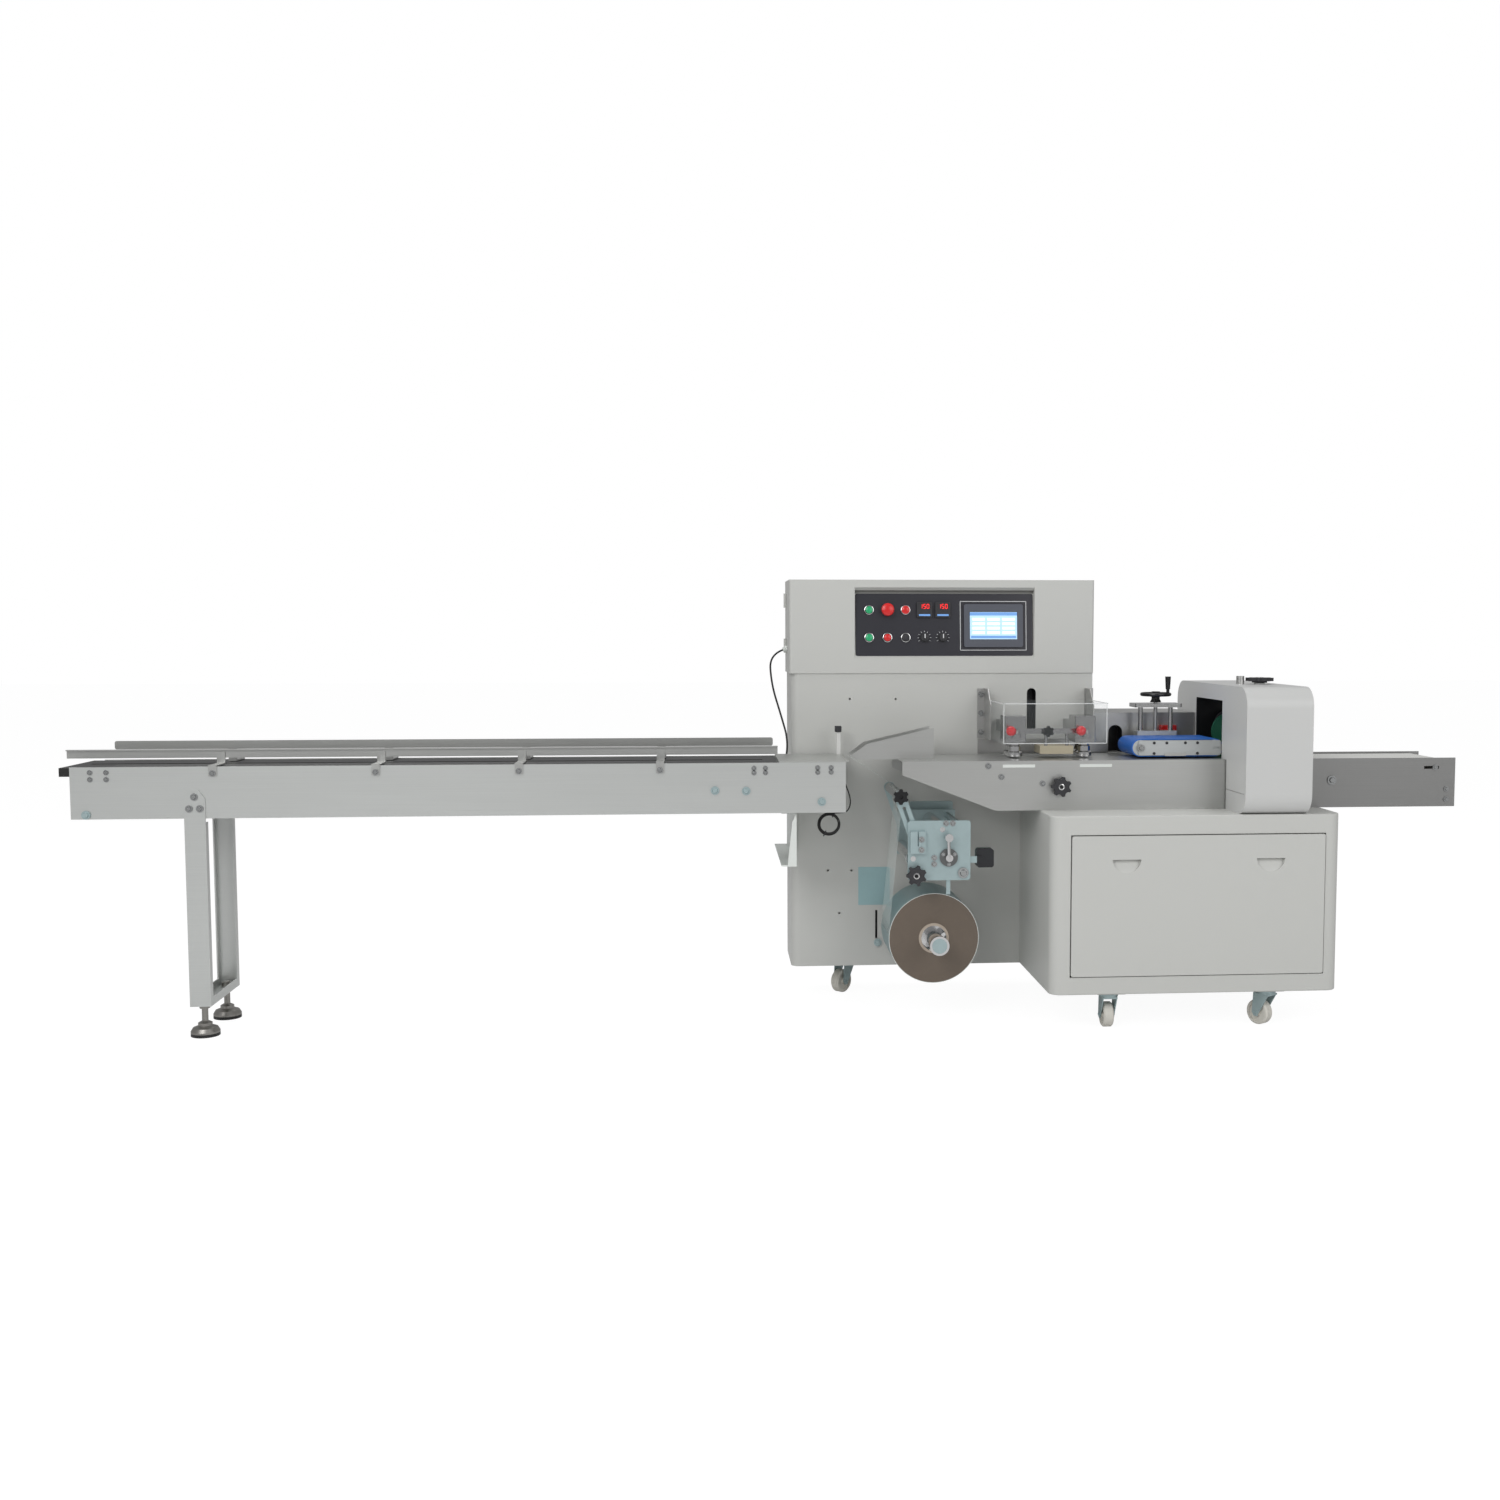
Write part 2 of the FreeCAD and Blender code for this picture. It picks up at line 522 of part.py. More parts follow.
def roller(x, z, r, y0, y1, journal0, journal1):
    return joined([rod_y(x, y0, y1, z, r), rod_y(x, journal0, journal1, z, 8)])


def top_roller():
    """Roller between the two arm heads, clamped in front by a star knob that turns with it."""
    body = roller(TOP_ROLLER_X, TOP_ROLLER_Z, TOP_ROLLER_R, -204, 54, -226, 67)
    return joined([body, facing_front(star_grip(23, 20, 6, 6), TOP_ROLLER_X, -222, TOP_ROLLER_Z)])


def feed_roller():
    return roller(FEED_ROLLER_X, FEED_ROLLER_Z, FEED_ROLLER_R, -208, 58, FILM_PLATE_Y + 1, 74)


def guide_roller():
    return roller(GUIDE_ROLLER_X, GUIDE_ROLLER_Z, GUIDE_ROLLER_R, -204, 58, FILM_PLATE_Y + 1, 74)


def release_lever():
    y = FILM_PLATE_Y - 10
    hub = rod_y(496, y - 12, y, 509, 11)
    pin = rod_y(496, y, y + 16, 509, 5)
    arm = Part.makeCone(6, 5, 62, V(496, y - 7, 509), V(-3, 0, 62))
    return joined([hub, pin, arm, rod_y(493, y - 26, y, 571, 12)])


def bracket_knob():
    return hand_knob(397, FILM_PLATE_Y - 6, 458, 30, 26, 6, FILM_PLATE_Y + 12)


def film_web():
    """Film from the left of the roll, up behind the arms, over the top roller and on to the tip of the forming box."""
    t = 1.0
    roll, top, tip = V(ROLL_X, 0, ROLL_Z), V(TOP_ROLLER_X, 0, TOP_ROLLER_Z), V(216, 0, 800)
    gap = 0.4
    lift = TOP_ROLLER_R + gap
    reach = top.sub(roll)
    lean = math.atan2(reach.x, reach.z) + math.asin((ROLL_R + gap + t + lift) / reach.Length)
    along = V(math.sin(lean), 0, math.cos(lean))
    left = V(-along.z, 0, along.x)
    start = roll.add(left * (ROLL_R + gap + t))
    meet = top.sub(left * lift)
    to_tip = tip.sub(top)
    swing = math.atan2(to_tip.x, to_tip.z) - math.asin(lift / to_tip.Length)
    exit_dir = V(math.sin(swing), 0, math.cos(swing))
    leave = top.add(V(exit_dir.z, 0, -exit_dir.x) * lift)
    middle = top.add(V((meet.x + leave.x) / 2 - top.x, 0, (meet.z + leave.z) / 2 - top.z).normalize() * lift)
    inner = [Part.makeLine(start, meet), Part.Arc(meet, middle, leave).toShape(), Part.makeLine(leave, tip)]
    push = V(exit_dir.z, 0, -exit_dir.x) * t
    out_meet = top.add(meet.sub(top) * ((lift + t) / lift))
    out_mid = top.add(middle.sub(top) * ((lift + t) / lift))
    out_leave = top.add(leave.sub(top) * ((lift + t) / lift))
    out_start = start.add(out_meet.sub(meet))
    out_tip = tip.add(push)
    outer = [Part.makeLine(tip, out_tip), Part.makeLine(out_tip, out_leave),
             Part.Arc(out_leave, out_mid, out_meet).toShape(), Part.makeLine(out_meet, out_start),
             Part.makeLine(out_start, start)]
    sheet = Part.Face(Part.Wire(inner + outer)).extrude(V(0, WEB_REAR - WEB_FRONT, 0))
    sheet.translate(V(0, WEB_FRONT, 0))
    print("film web runs %.1f from the roll, %.1f to the tip" % (start.sub(meet).Length, leave.sub(tip).Length))
    return sheet


# ---- fin seal -----------------------------------------------------------------------------------------------
def seal_guard():
    x0, x1, y0, y1, z0, z1, t = 664, 987, -180, 60, 843, 965, 5
    shell = box(x0, x1, y0, y1, z0, z1).cut(box(x0 + t, x1 - t, y0 + t, y1 + 1, z0 - 1, z1 - t))
    return rounded(shell, 4, V(0, 0, 1), lambda p: p.y < y0 + 1)


def seal_blocks():
    """Two wheel carriers on arms from the cabinet, tied together, with the pins their wheels and levers turn on."""
    pieces = [box(SEAL_X[0], SEAL_X[1], -100, -86, 868, 884)]
    for x in SEAL_X:
        carrier = rounded(box(x - 32, x + 32, -100, -12, 842, 922), 4, V(0, 0, 1))
        arm = box(x - 20, x + 20, -12, CABINET_FRONT, 866, 902)
        lug = rounded(box(x - 12, x + 12, -124, -99, 858, 868), 8, V(0, 0, 1), lambda p: p.y < -120)
        pieces += [carrier, arm, lug, rod_z(x, LEVER_PIVOT_Y, 868, 884, LEVER_PIN_R)]
        for y in (CENTRE_Y - SEAL_WHEEL_R - SEAL_WHEEL_GAP / 2, CENTRE_Y + SEAL_WHEEL_R + SEAL_WHEEL_GAP / 2):
            pieces.append(rod_z(x, y, 802, 843, 5))
    knob = facing_front(star_grip(17, 20, 6, 5), 818, -100, 876)
    hangers = [rod_z(x, -93, 831, 869, 5) for x in (815, 880)]
    return joined(pieces + [knob] + hangers)


def heater_block():
    block = box(796, 899, -100, -12, 806, 831)
    slot = box(790, 905, CENTRE_Y - 2, CENTRE_Y + 2, 800, 822)
    return rounded(block.cut(slot), 3, V(0, 1, 0), lambda p: p.z < 807)


def seal_wheel(x, y):
    """Draw wheel: a broad knurled rim under a narrower neck, bored for its pin."""
    bore = 5 + RUNNING
    outline = [(bore, 799), (SEAL_WHEEL_R, 799), (SEAL_WHEEL_R, 811), (SEAL_WHEEL_R - 5, 815), (SEAL_WHEEL_R - 5, 829),
               (SEAL_WHEEL_R - 8, 833), (SEAL_WHEEL_R - 8, 837), (bore, 837)]
    wheel = turned_z(outline)
    wheel.translate(V(x, y, 0))
    return wheel


def seal_lever(x):
    """Short lever that swings over the carrier's lug, with a ball at its end."""
    tip_x, tip_y = x - LEVER_REACH[0], LEVER_PIVOT_Y - LEVER_REACH[1]
    reach = math.hypot(*LEVER_REACH)
    hub = rod_z(x, LEVER_PIVOT_Y, 869, 881, 9)
    arm = Part.makeCylinder(4, reach, V(x, LEVER_PIVOT_Y, 875), V(-LEVER_REACH[0], -LEVER_REACH[1], 4))
    tip = ball(LEVER_BALL_R, tip_x, tip_y, 879)
    return joined([hub, arm, tip]).cut(rod_z(x, LEVER_PIVOT_Y, 860, 890, LEVER_PIN_R + RUNNING))


# ---- press belt ---------------------------------------------------------------------------------------------
BELT_X0, BELT_X1, BELT_Z0, BELT_Z1 = 1071.0, 1356.0, 799.0, 853.0
BELT_Y0, BELT_Y1 = -139.0, 27.0


def press_belt():
    outer = stadium_y(BELT_X0, BELT_X1, BELT_Z0, BELT_Z1, BELT_Y0, BELT_Y1)
    inner = stadium_y(BELT_X0 + 3, BELT_X1 - 3, BELT_Z0 + 3, BELT_Z1 - 3, BELT_Y0 - 1, BELT_Y1 + 1)
    return outer.cut(inner)


def press_carriage():
    """Side plates, pulleys and slider of the press belt, with the block behind that runs on the lift posts."""
    low, high = BELT_Z0 + 4, BELT_Z1 - 4
    plates = []
    for y0, y1 in ((BELT_Y0 - 6, BELT_Y0 - 1), (BELT_Y1 + 1, BELT_Y1 + 6)):
        plate = rounded(box(BELT_X0 + 20, BELT_X1 - 8, y0, y1, low, high), 8, V(0, 1, 0))
        notch = box(1196, 1214, y0 - 1, y1 + 1, low - 1, low + 8)
        end_slot = box(BELT_X1 - 34, BELT_X1 - 14, y0 - 1, y1 + 1, 822, 829)
        plates.append(cut(plate, [notch, end_slot]))
    inner_r = (BELT_Z1 - BELT_Z0) / 2 - 3
    mid = (BELT_Z0 + BELT_Z1) / 2
    pulleys = [rod_y(x, BELT_Y0 - 1, BELT_Y1 + 1, mid, inner_r)
               for x in (BELT_X0 + 3 + inner_r, BELT_X1 - 3 - inner_r)]
    axles = [rod_y(BELT_X0 + 3 + inner_r, BELT_Y0 - 9, BELT_Y1 + 9, mid, 9)]
    slider = box(BELT_X0 + 45, BELT_X1 - 45, BELT_Y0 - 1, BELT_Y1 + 1, mid - 12, mid + 12)
    half = LIFT_POST_PITCH / 2 + 17
    block = rounded(box(LIFT_X - half, LIFT_X + half, BELT_Y1 + 6, LIFT_Y + 18, 838, 866), 5, V(0, 0, 1))
    bores = [rod_z(LIFT_X + s * LIFT_POST_PITCH / 2, LIFT_Y, 830, 870, LIFT_POST_R + RUNNING) for s in (-1, 1)]
    bores.append(rod_z(LIFT_X, LIFT_Y, 830, 870, LIFT_SCREW_R + RUNNING))
    return joined(plates + pulleys + axles + [slider, cut(block, bores)])


def lift_frame():
    """Two posts that stand on the table and carry the top plate."""
    half = LIFT_POST_PITCH / 2
    posts = [rod_z(LIFT_X + s * half, LIFT_Y, DECK, 953, LIFT_POST_R) for s in (-1, 1)]
    top = rounded(box(LIFT_X - half - 27, LIFT_X + half + 27, LIFT_Y - 40, LIFT_Y + 40, 941, 953), 6, V(0, 0, 1))
    feet = [rod_z(LIFT_X + s * half, LIFT_Y, DECK, DECK + 8, 13) for s in (-1, 1)]
    return joined(posts + [top] + feet).cut(rod_z(LIFT_X, LIFT_Y, 930, 960, LIFT_SCREW_R + RUNNING))


def handwheel():
    """Three-spoked handwheel with a crank grip, on the screw that runs down through the top plate."""
    x, y = LIFT_X, LIFT_Y
    rim = ring_z(43, 6, 12)
    rim.translate(V(x, y, 981))
    hub = joined([rod_z(x, y, 956, 990, 13), Part.makeCone(18, 13, 10, V(x, y, 956))])
    spokes = []
    for i in range(3):
        turn = math.radians(15 + 120 * i)
        spokes.append(Part.makeCone(6, 4.5, 42, V(x, y, 976), V(math.cos(turn), math.sin(turn), 0.12)))
    grip_x = x + 30
    grip = joined([rod_z(grip_x, y - 31, 978, 1000, 5), Part.makeCone(7, 9, 40, V(grip_x, y - 31, 998))])
    screw = rod_z(x, y, DECK + 6, 960, LIFT_SCREW_R)
    return joined([rim, hub] + spokes + [grip, screw])


# ---- end seal -----------------------------------------------------------------------------------------------
def end_cover():
    """Arched cover over the jaws: large corner rounds along its length and a tunnel for the packs."""
    y0, y1, r = -CABINET_BACK, 315, 60
    body = box(COVER_X0, COVER_X1, y0, y1, HOUSING_TOP, COVER_TOP)
    body = rounded(body, r, V(1, 0, 0), lambda p: p.y < 0 or p.z > COVER_TOP - 1)
    body = cut(body, [box(COVER_X0 - 1, COVER_X1 + 1, -197, y1 + 1, HOUSING_TOP - 1, DECK),
                      box(COVER_X0 - 1, COVER_X1 + 1, TUNNEL_FRONT, TUNNEL_REAR, DECK - 1, TUNNEL_TOP)])
    seam = box(COVER_X0 - 1, COVER_X0 + 3, y0 + 14, -197, HOUSING_TOP + 60, HOUSING_TOP + 62)
    stud = rod_z(1419, -100, COVER_TOP - 2, 1043, 12)
    boss = rod_z(1480, -100, COVER_TOP - 2, COVER_TOP + 4, 16)
    stem_hole = rod_z(1480, -100, COVER_TOP - 20, COVER_TOP + 5, 6 + RUNNING)
    return joined([body.cut(seam), stud, boss]).cut(stem_hole)


def cover_knob():
    knob = star_grip(42, 15, 8, 12)
    knob.translate(V(1480, -100, COVER_TOP + 5))
    return joined([knob, rod_z(1480, -100, COVER_TOP - 18, COVER_TOP + 8, 6)])


def jaw(z):
    """Rotary sealing jaw: a shaft with two opposed crimp bars that taper to their faces."""
    shaft = rod_y(JAW_X, -145, 104, z, 15)
    half, root, face = 9, 22, JAW_TIP_R * math.cos(math.asin(9 / JAW_TIP_R))
    blade = [(JAW_X - root, z), (JAW_X - half - 2, z + 40), (JAW_X - half, z + face), (JAW_X + half, z + face),
             (JAW_X + half + 2, z + 40), (JAW_X + root, z), (JAW_X + half + 2, z - 40), (JAW_X + half, z - face),
             (JAW_X - half, z - face), (JAW_X - half - 2, z - 40)]
    bars = profile_y(blade, -132, 46)
    disc = rod_y(JAW_X, 52, 64, z, JAW_TIP_R - 2)
    return joined([shaft, bars, disc])


def jaw_frame():
    """Round-topped bearing plates at each end of the jaws, drilled for both shafts."""
    plates = []
    for y0, y1 in ((-148, -139), (78, 87)):
        plate = joined([box(JAW_X - 40, JAW_X + 40, y0, y1, HOUSING_TOP, 890), rod_y(JAW_X, y0, y1, 890, 40)])
        plates.append(cut(plate, [rod_y(JAW_X, y0 - 1, y1 + 1, z, 15 + RUNNING) for z in (JAW_UPPER_Z, JAW_LOWER_Z)]))
    return plates


# ---- outfeed ------------------------------------------------------------------------------------------------
OUTFEED_LEFT, OUTFEED_RIGHT = 1515.0, LENGTH / 2
OUTFEED_FRONT = -180.0


def outfeed_frame():
    """Side plates of the outfeed, joined by its two drums and a bed bar."""
    holes = end_holes(OUTFEED_HOLE_X, OUTFEED_HOLE_Z, OUTFEED_FRONT - 1, PLATE_REAR + 1)
    slot = box(1976, 2023, OUTFEED_FRONT - 1, PLATE_REAR + 1, 759, 768)
    plates = [box(OUTFEED_LEFT, OUTFEED_RIGHT, y, y + SHEET, HOUSING_TOP, DECK)
              for y in (OUTFEED_FRONT, PLATE_REAR - SHEET)]
    plates = [cut(plate, holes + [slot]) for plate in plates]
    drums = [rod_y(x, OUTFEED_FRONT + SHEET, PLATE_REAR - SHEET, 763, 22) for x in (1549, 2036)]
    bars = [rod_y(x, OUTFEED_FRONT + SHEET, PLATE_REAR - SHEET, 668, 9) for x in (1580, 1990)]
    return joined(plates + drums + bars)


def outfeed_belt():
    outer = stadium_y(1524, 2061, 738, 788, -158, 58)
    inner = stadium_y(1527, 2058, 741, 785, -159, 59)
    return outer.cut(inner)


# ---- casters ------------------------------------------------------------------------------------------------
def placed_caster(shape, x, y, turn):
    shape = shape.copy()
    shape.rotate(V(0, 0, 0), V(0, 0, 1), turn)
    shape.translate(V(x, y, 0))
    return shape


def caster_fork():
    """Swivel crown and two tapering cheeks down to the axle, which trails behind the swivel."""
    crown = joined([rod_z(0, 0, 98, 107.5, 28), box(-22, 22, -24, CASTER_TRAIL + 8, 93, 98)])
    cheek = [(-24, 98), (CASTER_TRAIL + 8, 98), (CASTER_TRAIL + 12, CASTER_R), (CASTER_TRAIL + 5, CASTER_R - 11),
             (CASTER_TRAIL - 7, CASTER_R - 11), (CASTER_TRAIL - 12, CASTER_R)]
    cheeks = [profile_x(cheek, x, x + 3) for x in (-22, 19)]
    return joined([crown] + cheeks + [rod_x(-25, 25, CASTER_TRAIL, CASTER_R, CASTER_AXLE_R)])


def caster_wheel():
    """Wheel turned in one piece: bevelled tread, dished sides and a hub that stands proud of them."""
    bore = CASTER_AXLE_R + RUNNING
    side = [(17, bore), (17, 10), (11, 10), (11, CASTER_R - 10), (15, CASTER_R - 10), (15, CASTER_R - 4), (11, CASTER_R)]
    outline = side + [(-x, r) for x, r in reversed(side)]
    section = Part.Face(Part.makePolygon([V(x, 0, r) for x, r in outline + outline[:1]]))
    wheel = section.revolve(V(0, 0, 0), V(1, 0, 0), 360)
    wheel.translate(V(0, CASTER_TRAIL, CASTER_R))
    return wheel


# ---- cords --------------------------------------------------------------------------------------------------
def tube(name, points, radius):
    """Round cord of straight runs joined by tangent arcs; prints each arc's radius and the cord's length."""
    edges, cursor, length = [], points[0], 0.0
    for before, corner, after in zip(points, points[1:], points[2:]):
        into, out = corner.sub(before), after.sub(corner)
        turn = into.getAngle(out)
        trim = 0.45 * min(into.Length, out.Length)
        bend = trim / math.tan(turn / 2)
        u, w = V(into).normalize(), V(out).normalize()
        start, end = corner.sub(u * trim), corner.add(w * trim)
        to_centre = w.sub(u).normalize()
        centre = corner.add(to_centre * (bend / math.cos(turn / 2)))
        middle = centre.sub(to_centre * bend)
        edges += [Part.LineSegment(cursor, start).toShape(), Part.Arc(start, middle, end).toShape()]
        length += start.sub(cursor).Length + bend * turn
        cursor = end
        print(name, "bend radius %.1f at a turn of %.0f deg" % (bend, math.degrees(turn)))
    edges.append(Part.LineSegment(cursor, points[-1]).toShape())
    length += points[-1].sub(cursor).Length
    wire = Part.Wire(edges)
    ring = Part.Wire(Part.Circle(points[0], points[1].sub(points[0]), radius).toShape())
    cord = wire.makePipeShell([ring], True, False)
    print(name, "length %.1f, volume %.0f against %.0f" % (length, cord.Volume, length * math.pi * radius ** 2))
    return cord


def cabinet_cable():
    return tube("cabinet_cable", [V(CABINET_LEFT - 5, 268, 1124), V(-17, 262, 1110), V(-13, 215, 1012), V(14, 160, 918),
                                  V(37, 110, 832), V(20, 99, 745), V(17, 100, HOUSING_TOP)], 3)


def sensor_lead():
    return tube("sensor_lead", [V(180, -130, DECK), V(189, -128, 736), V(214, -126, 676), V(205, -130, 628),
                                V(176, -132, 612)], 2)


COIL_R, COIL_THICKNESS = 31.0, 13.0


def sensor_coil():
    """The lead's slack, tied in a flat ring against the side plate's end."""
    return facing_front(ring_z(COIL_R, COIL_THICKNESS / 2, 8), 146, -132, 601)


# ---- all parts ----------------------------------------------------------------------------------------------
def main():
    os.makedirs("parts", exist_ok=True)
    single = (infeed_side_plates, guide_rails, infeed_bed, infeed_fixings, leg_frame, levelling_feet, support_bracket,
              cabinet_body, control_box, control_panel, touch_screen, panel_buttons, rear_body, steel_back,
              front_housing, front_door, table, table_knob, forming_box, film_roll, reel_shaft, film_bracket,
              top_roller, feed_roller, guide_roller, release_lever, bracket_knob, film_web, seal_guard, seal_blocks,
              heater_block, press_belt, press_carriage, lift_frame, handwheel, end_cover, cover_knob, jaw_frame,
              outfeed_frame, outfeed_belt, cabinet_cable, sensor_lead, sensor_coil)
    for build in single:
        export(build.__name__, build())
    export("jaw_upper", jaw(JAW_UPPER_Z))
    export("jaw_lower", jaw(JAW_LOWER_Z))
    offset = SEAL_WHEEL_R + SEAL_WHEEL_GAP / 2
    for side, x in zip(("left", "right"), SEAL_X):
        export("seal_lever_" + side, seal_lever(x))
        export("seal_wheel_" + side + "_front", seal_wheel(x, CENTRE_Y - offset))
        export("seal_wheel_" + side + "_rear", seal_wheel(x, CENTRE_Y + offset))
    for name, x, y, turn in CASTERS:
        export("caster_fork_" + name, placed_caster(caster_fork(), x, y, turn))
        export("caster_wheel_" + name, placed_caster(caster_wheel(), x, y, turn))


main()
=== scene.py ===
"""Looks of the horizontal flow wrapper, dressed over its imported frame, in metres."""
import logging
import math
from dataclasses import dataclass, field
from enum import Enum

import bmesh
import bpy
from mathutils import Matrix, Vector


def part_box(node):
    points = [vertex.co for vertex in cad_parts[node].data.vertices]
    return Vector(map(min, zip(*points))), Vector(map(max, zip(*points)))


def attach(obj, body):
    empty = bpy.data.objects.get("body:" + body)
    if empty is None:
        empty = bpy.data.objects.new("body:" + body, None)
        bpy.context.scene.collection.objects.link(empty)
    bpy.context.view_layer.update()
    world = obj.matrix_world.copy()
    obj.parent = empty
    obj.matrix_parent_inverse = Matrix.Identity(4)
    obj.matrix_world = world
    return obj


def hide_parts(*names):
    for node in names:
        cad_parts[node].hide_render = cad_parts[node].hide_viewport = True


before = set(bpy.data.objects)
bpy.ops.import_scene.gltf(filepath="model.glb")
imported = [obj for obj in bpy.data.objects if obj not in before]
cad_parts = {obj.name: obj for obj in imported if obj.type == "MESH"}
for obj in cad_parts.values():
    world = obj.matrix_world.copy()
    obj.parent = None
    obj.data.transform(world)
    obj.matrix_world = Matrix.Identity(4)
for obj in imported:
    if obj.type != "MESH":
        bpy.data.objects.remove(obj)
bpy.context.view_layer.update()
log = logging.getLogger("flow_wrapper")
Colour = tuple[float, float, float]
Point = tuple[float, float, float]


# ---- shared node groups --------------------------------------------------------------------------------------
def grain_group() -> bpy.types.NodeTree:
    """Noise on Object coordinates, stretched to taste, as one value from 0 to 1.

    Returns:
        The node group, made on first use.
    """
    found = bpy.data.node_groups.get("surface_grain")
    if found:
        return found
    tree = bpy.data.node_groups.new("surface_grain", "ShaderNodeTree")
    tree.interface.new_socket("Stretch", in_out="INPUT", socket_type="NodeSocketVector")
    tree.interface.new_socket("Detail", in_out="INPUT", socket_type="NodeSocketFloat")
    tree.interface.new_socket("Value", in_out="OUTPUT", socket_type="NodeSocketFloat")
    into, out = tree.nodes.new("NodeGroupInput"), tree.nodes.new("NodeGroupOutput")
    coord = tree.nodes.new("ShaderNodeTexCoord")
    mapping = tree.nodes.new("ShaderNodeMapping")
    noise = tree.nodes.new("ShaderNodeTexNoise")
    noise.inputs["Scale"].default_value = 1.0
    noise.inputs["Roughness"].default_value = 0.6
    tree.links.new(coord.outputs["Object"], mapping.inputs["Vector"])
    tree.links.new(into.outputs["Stretch"], mapping.inputs["Scale"])
    tree.links.new(into.outputs["Detail"], noise.inputs["Detail"])
    tree.links.new(mapping.outputs["Vector"], noise.inputs["Vector"])
    tree.links.new(noise.outputs["Fac"], out.inputs["Value"])
    return tree


def zone_group() -> bpy.types.NodeTree:
    """One where Object coordinates lie inside a box, and zero elsewhere.

    Returns:
        The node group, made on first use.
    """
    found = bpy.data.node_groups.get("zone_mask")
    if found:
        return found
    tree = bpy.data.node_groups.new("zone_mask", "ShaderNodeTree")
    tree.interface.new_socket("Centre", in_out="INPUT", socket_type="NodeSocketVector")
    tree.interface.new_socket("Half", in_out="INPUT", socket_type="NodeSocketVector")
    tree.interface.new_socket("Value", in_out="OUTPUT", socket_type="NodeSocketFloat")
    into, out = tree.nodes.new("NodeGroupInput"), tree.nodes.new("NodeGroupOutput")
    coord = tree.nodes.new("ShaderNodeTexCoord")
    away, reach, spare = (tree.nodes.new("ShaderNodeVectorMath") for _ in range(3))
    away.operation, reach.operation, spare.operation = "SUBTRACT", "ABSOLUTE", "SUBTRACT"
    split = tree.nodes.new("ShaderNodeSeparateXYZ")
    flat, least, inside = (tree.nodes.new("ShaderNodeMath") for _ in range(3))
    flat.operation, least.operation, inside.operation = "MINIMUM", "MINIMUM", "GREATER_THAN"
    inside.inputs[1].default_value = 0.0
    link = tree.links.new
    link(coord.outputs["Object"], away.inputs[0])
    link(into.outputs["Centre"], away.inputs[1])
    link(away.outputs["Vector"], reach.inputs[0])
    link(into.outputs["Half"], spare.inputs[0])
    link(reach.outputs["Vector"], spare.inputs[1])
    link(spare.outputs["Vector"], split.inputs["Vector"])
    link(split.outputs["X"], flat.inputs[0])
    link(split.outputs["Y"], flat.inputs[1])
    link(flat.outputs["Value"], least.inputs[0])
    link(split.outputs["Z"], least.inputs[1])
    link(least.outputs["Value"], inside.inputs[0])
    link(inside.outputs["Value"], out.inputs["Value"])
    return tree


# ---- finishes ------------------------------------------------------------------------------------------------
@dataclass(frozen=True)
class Finish:
    """One solid finish: its colour varies a little with a stretched grain, which also breaks up gloss and relief."""

    name: str
    slot: str
    colour: Colour
    roughness: float = 0.4
    metallic: float = 0.0
    stretch: Point = (60.0, 60.0, 60.0)
    tone: float = 0.04
    relief: float = 0.05
    coat: float = 0.0

    def material(self) -> bpy.types.Material:
        """Build the material, or find it again.

        Returns:
            The finished material.
        """
        found = bpy.data.materials.get(self.name)
        if found:
            return found
        mat = bpy.data.materials.new(self.name)
        mat.use_nodes = True
        tree = mat.node_tree
        shader = tree.nodes["Principled BSDF"]
        shader.inputs["Metallic"].default_value = self.metallic
        shader.inputs["Coat Weight"].default_value = self.coat
        grain = tree.nodes.new("ShaderNodeGroup")
        grain.node_tree = grain_group()
        grain.inputs["Stretch"].default_value = self.stretch
        grain.inputs["Detail"].default_value = 4.0
        mix = tree.nodes.new("ShaderNodeMix")
        mix.data_type = "RGBA"
        mix.inputs["A"].default_value = tuple(c * (1 - self.tone) for c in self.colour) + (1.0,)
        mix.inputs["B"].default_value = tuple(min(1.0, c * (1 + self.tone)) for c in self.colour) + (1.0,)
        rough = tree.nodes.new("ShaderNodeMapRange")
        rough.inputs["To Min"].default_value = max(0.02, self.roughness - 0.08)
        rough.inputs["To Max"].default_value = min(1.0, self.roughness + 0.08)
        bump = tree.nodes.new("ShaderNodeBump")
        bump.inputs["Strength"].default_value = self.relief
        bump.inputs["Distance"].default_value = 0.001
        tree.links.new(grain.outputs["Value"], mix.inputs["Factor"])
        tree.links.new(grain.outputs["Value"], rough.inputs["Value"])
        tree.links.new(grain.outputs["Value"], bump.inputs["Height"])
        tree.links.new(mix.outputs["Result"], shader.inputs["Base Color"])
        tree.links.new(rough.outputs["Result"], shader.inputs["Roughness"])
        tree.links.new(bump.outputs["Normal"], shader.inputs["Normal"])
        self.extend(tree, shader, mix)
        return mat

    def extend(self, tree: bpy.types.NodeTree, shader: bpy.types.Node, mix: bpy.types.Node) -> None:
        """Add what a special finish needs; a plain finish adds nothing."""


@dataclass(frozen=True)
class Zone:
    """Box in the object's own space where a finish takes another colour and metal."""

    low: Point
    high: Point
    colour: Colour
    metallic: float = 0.0


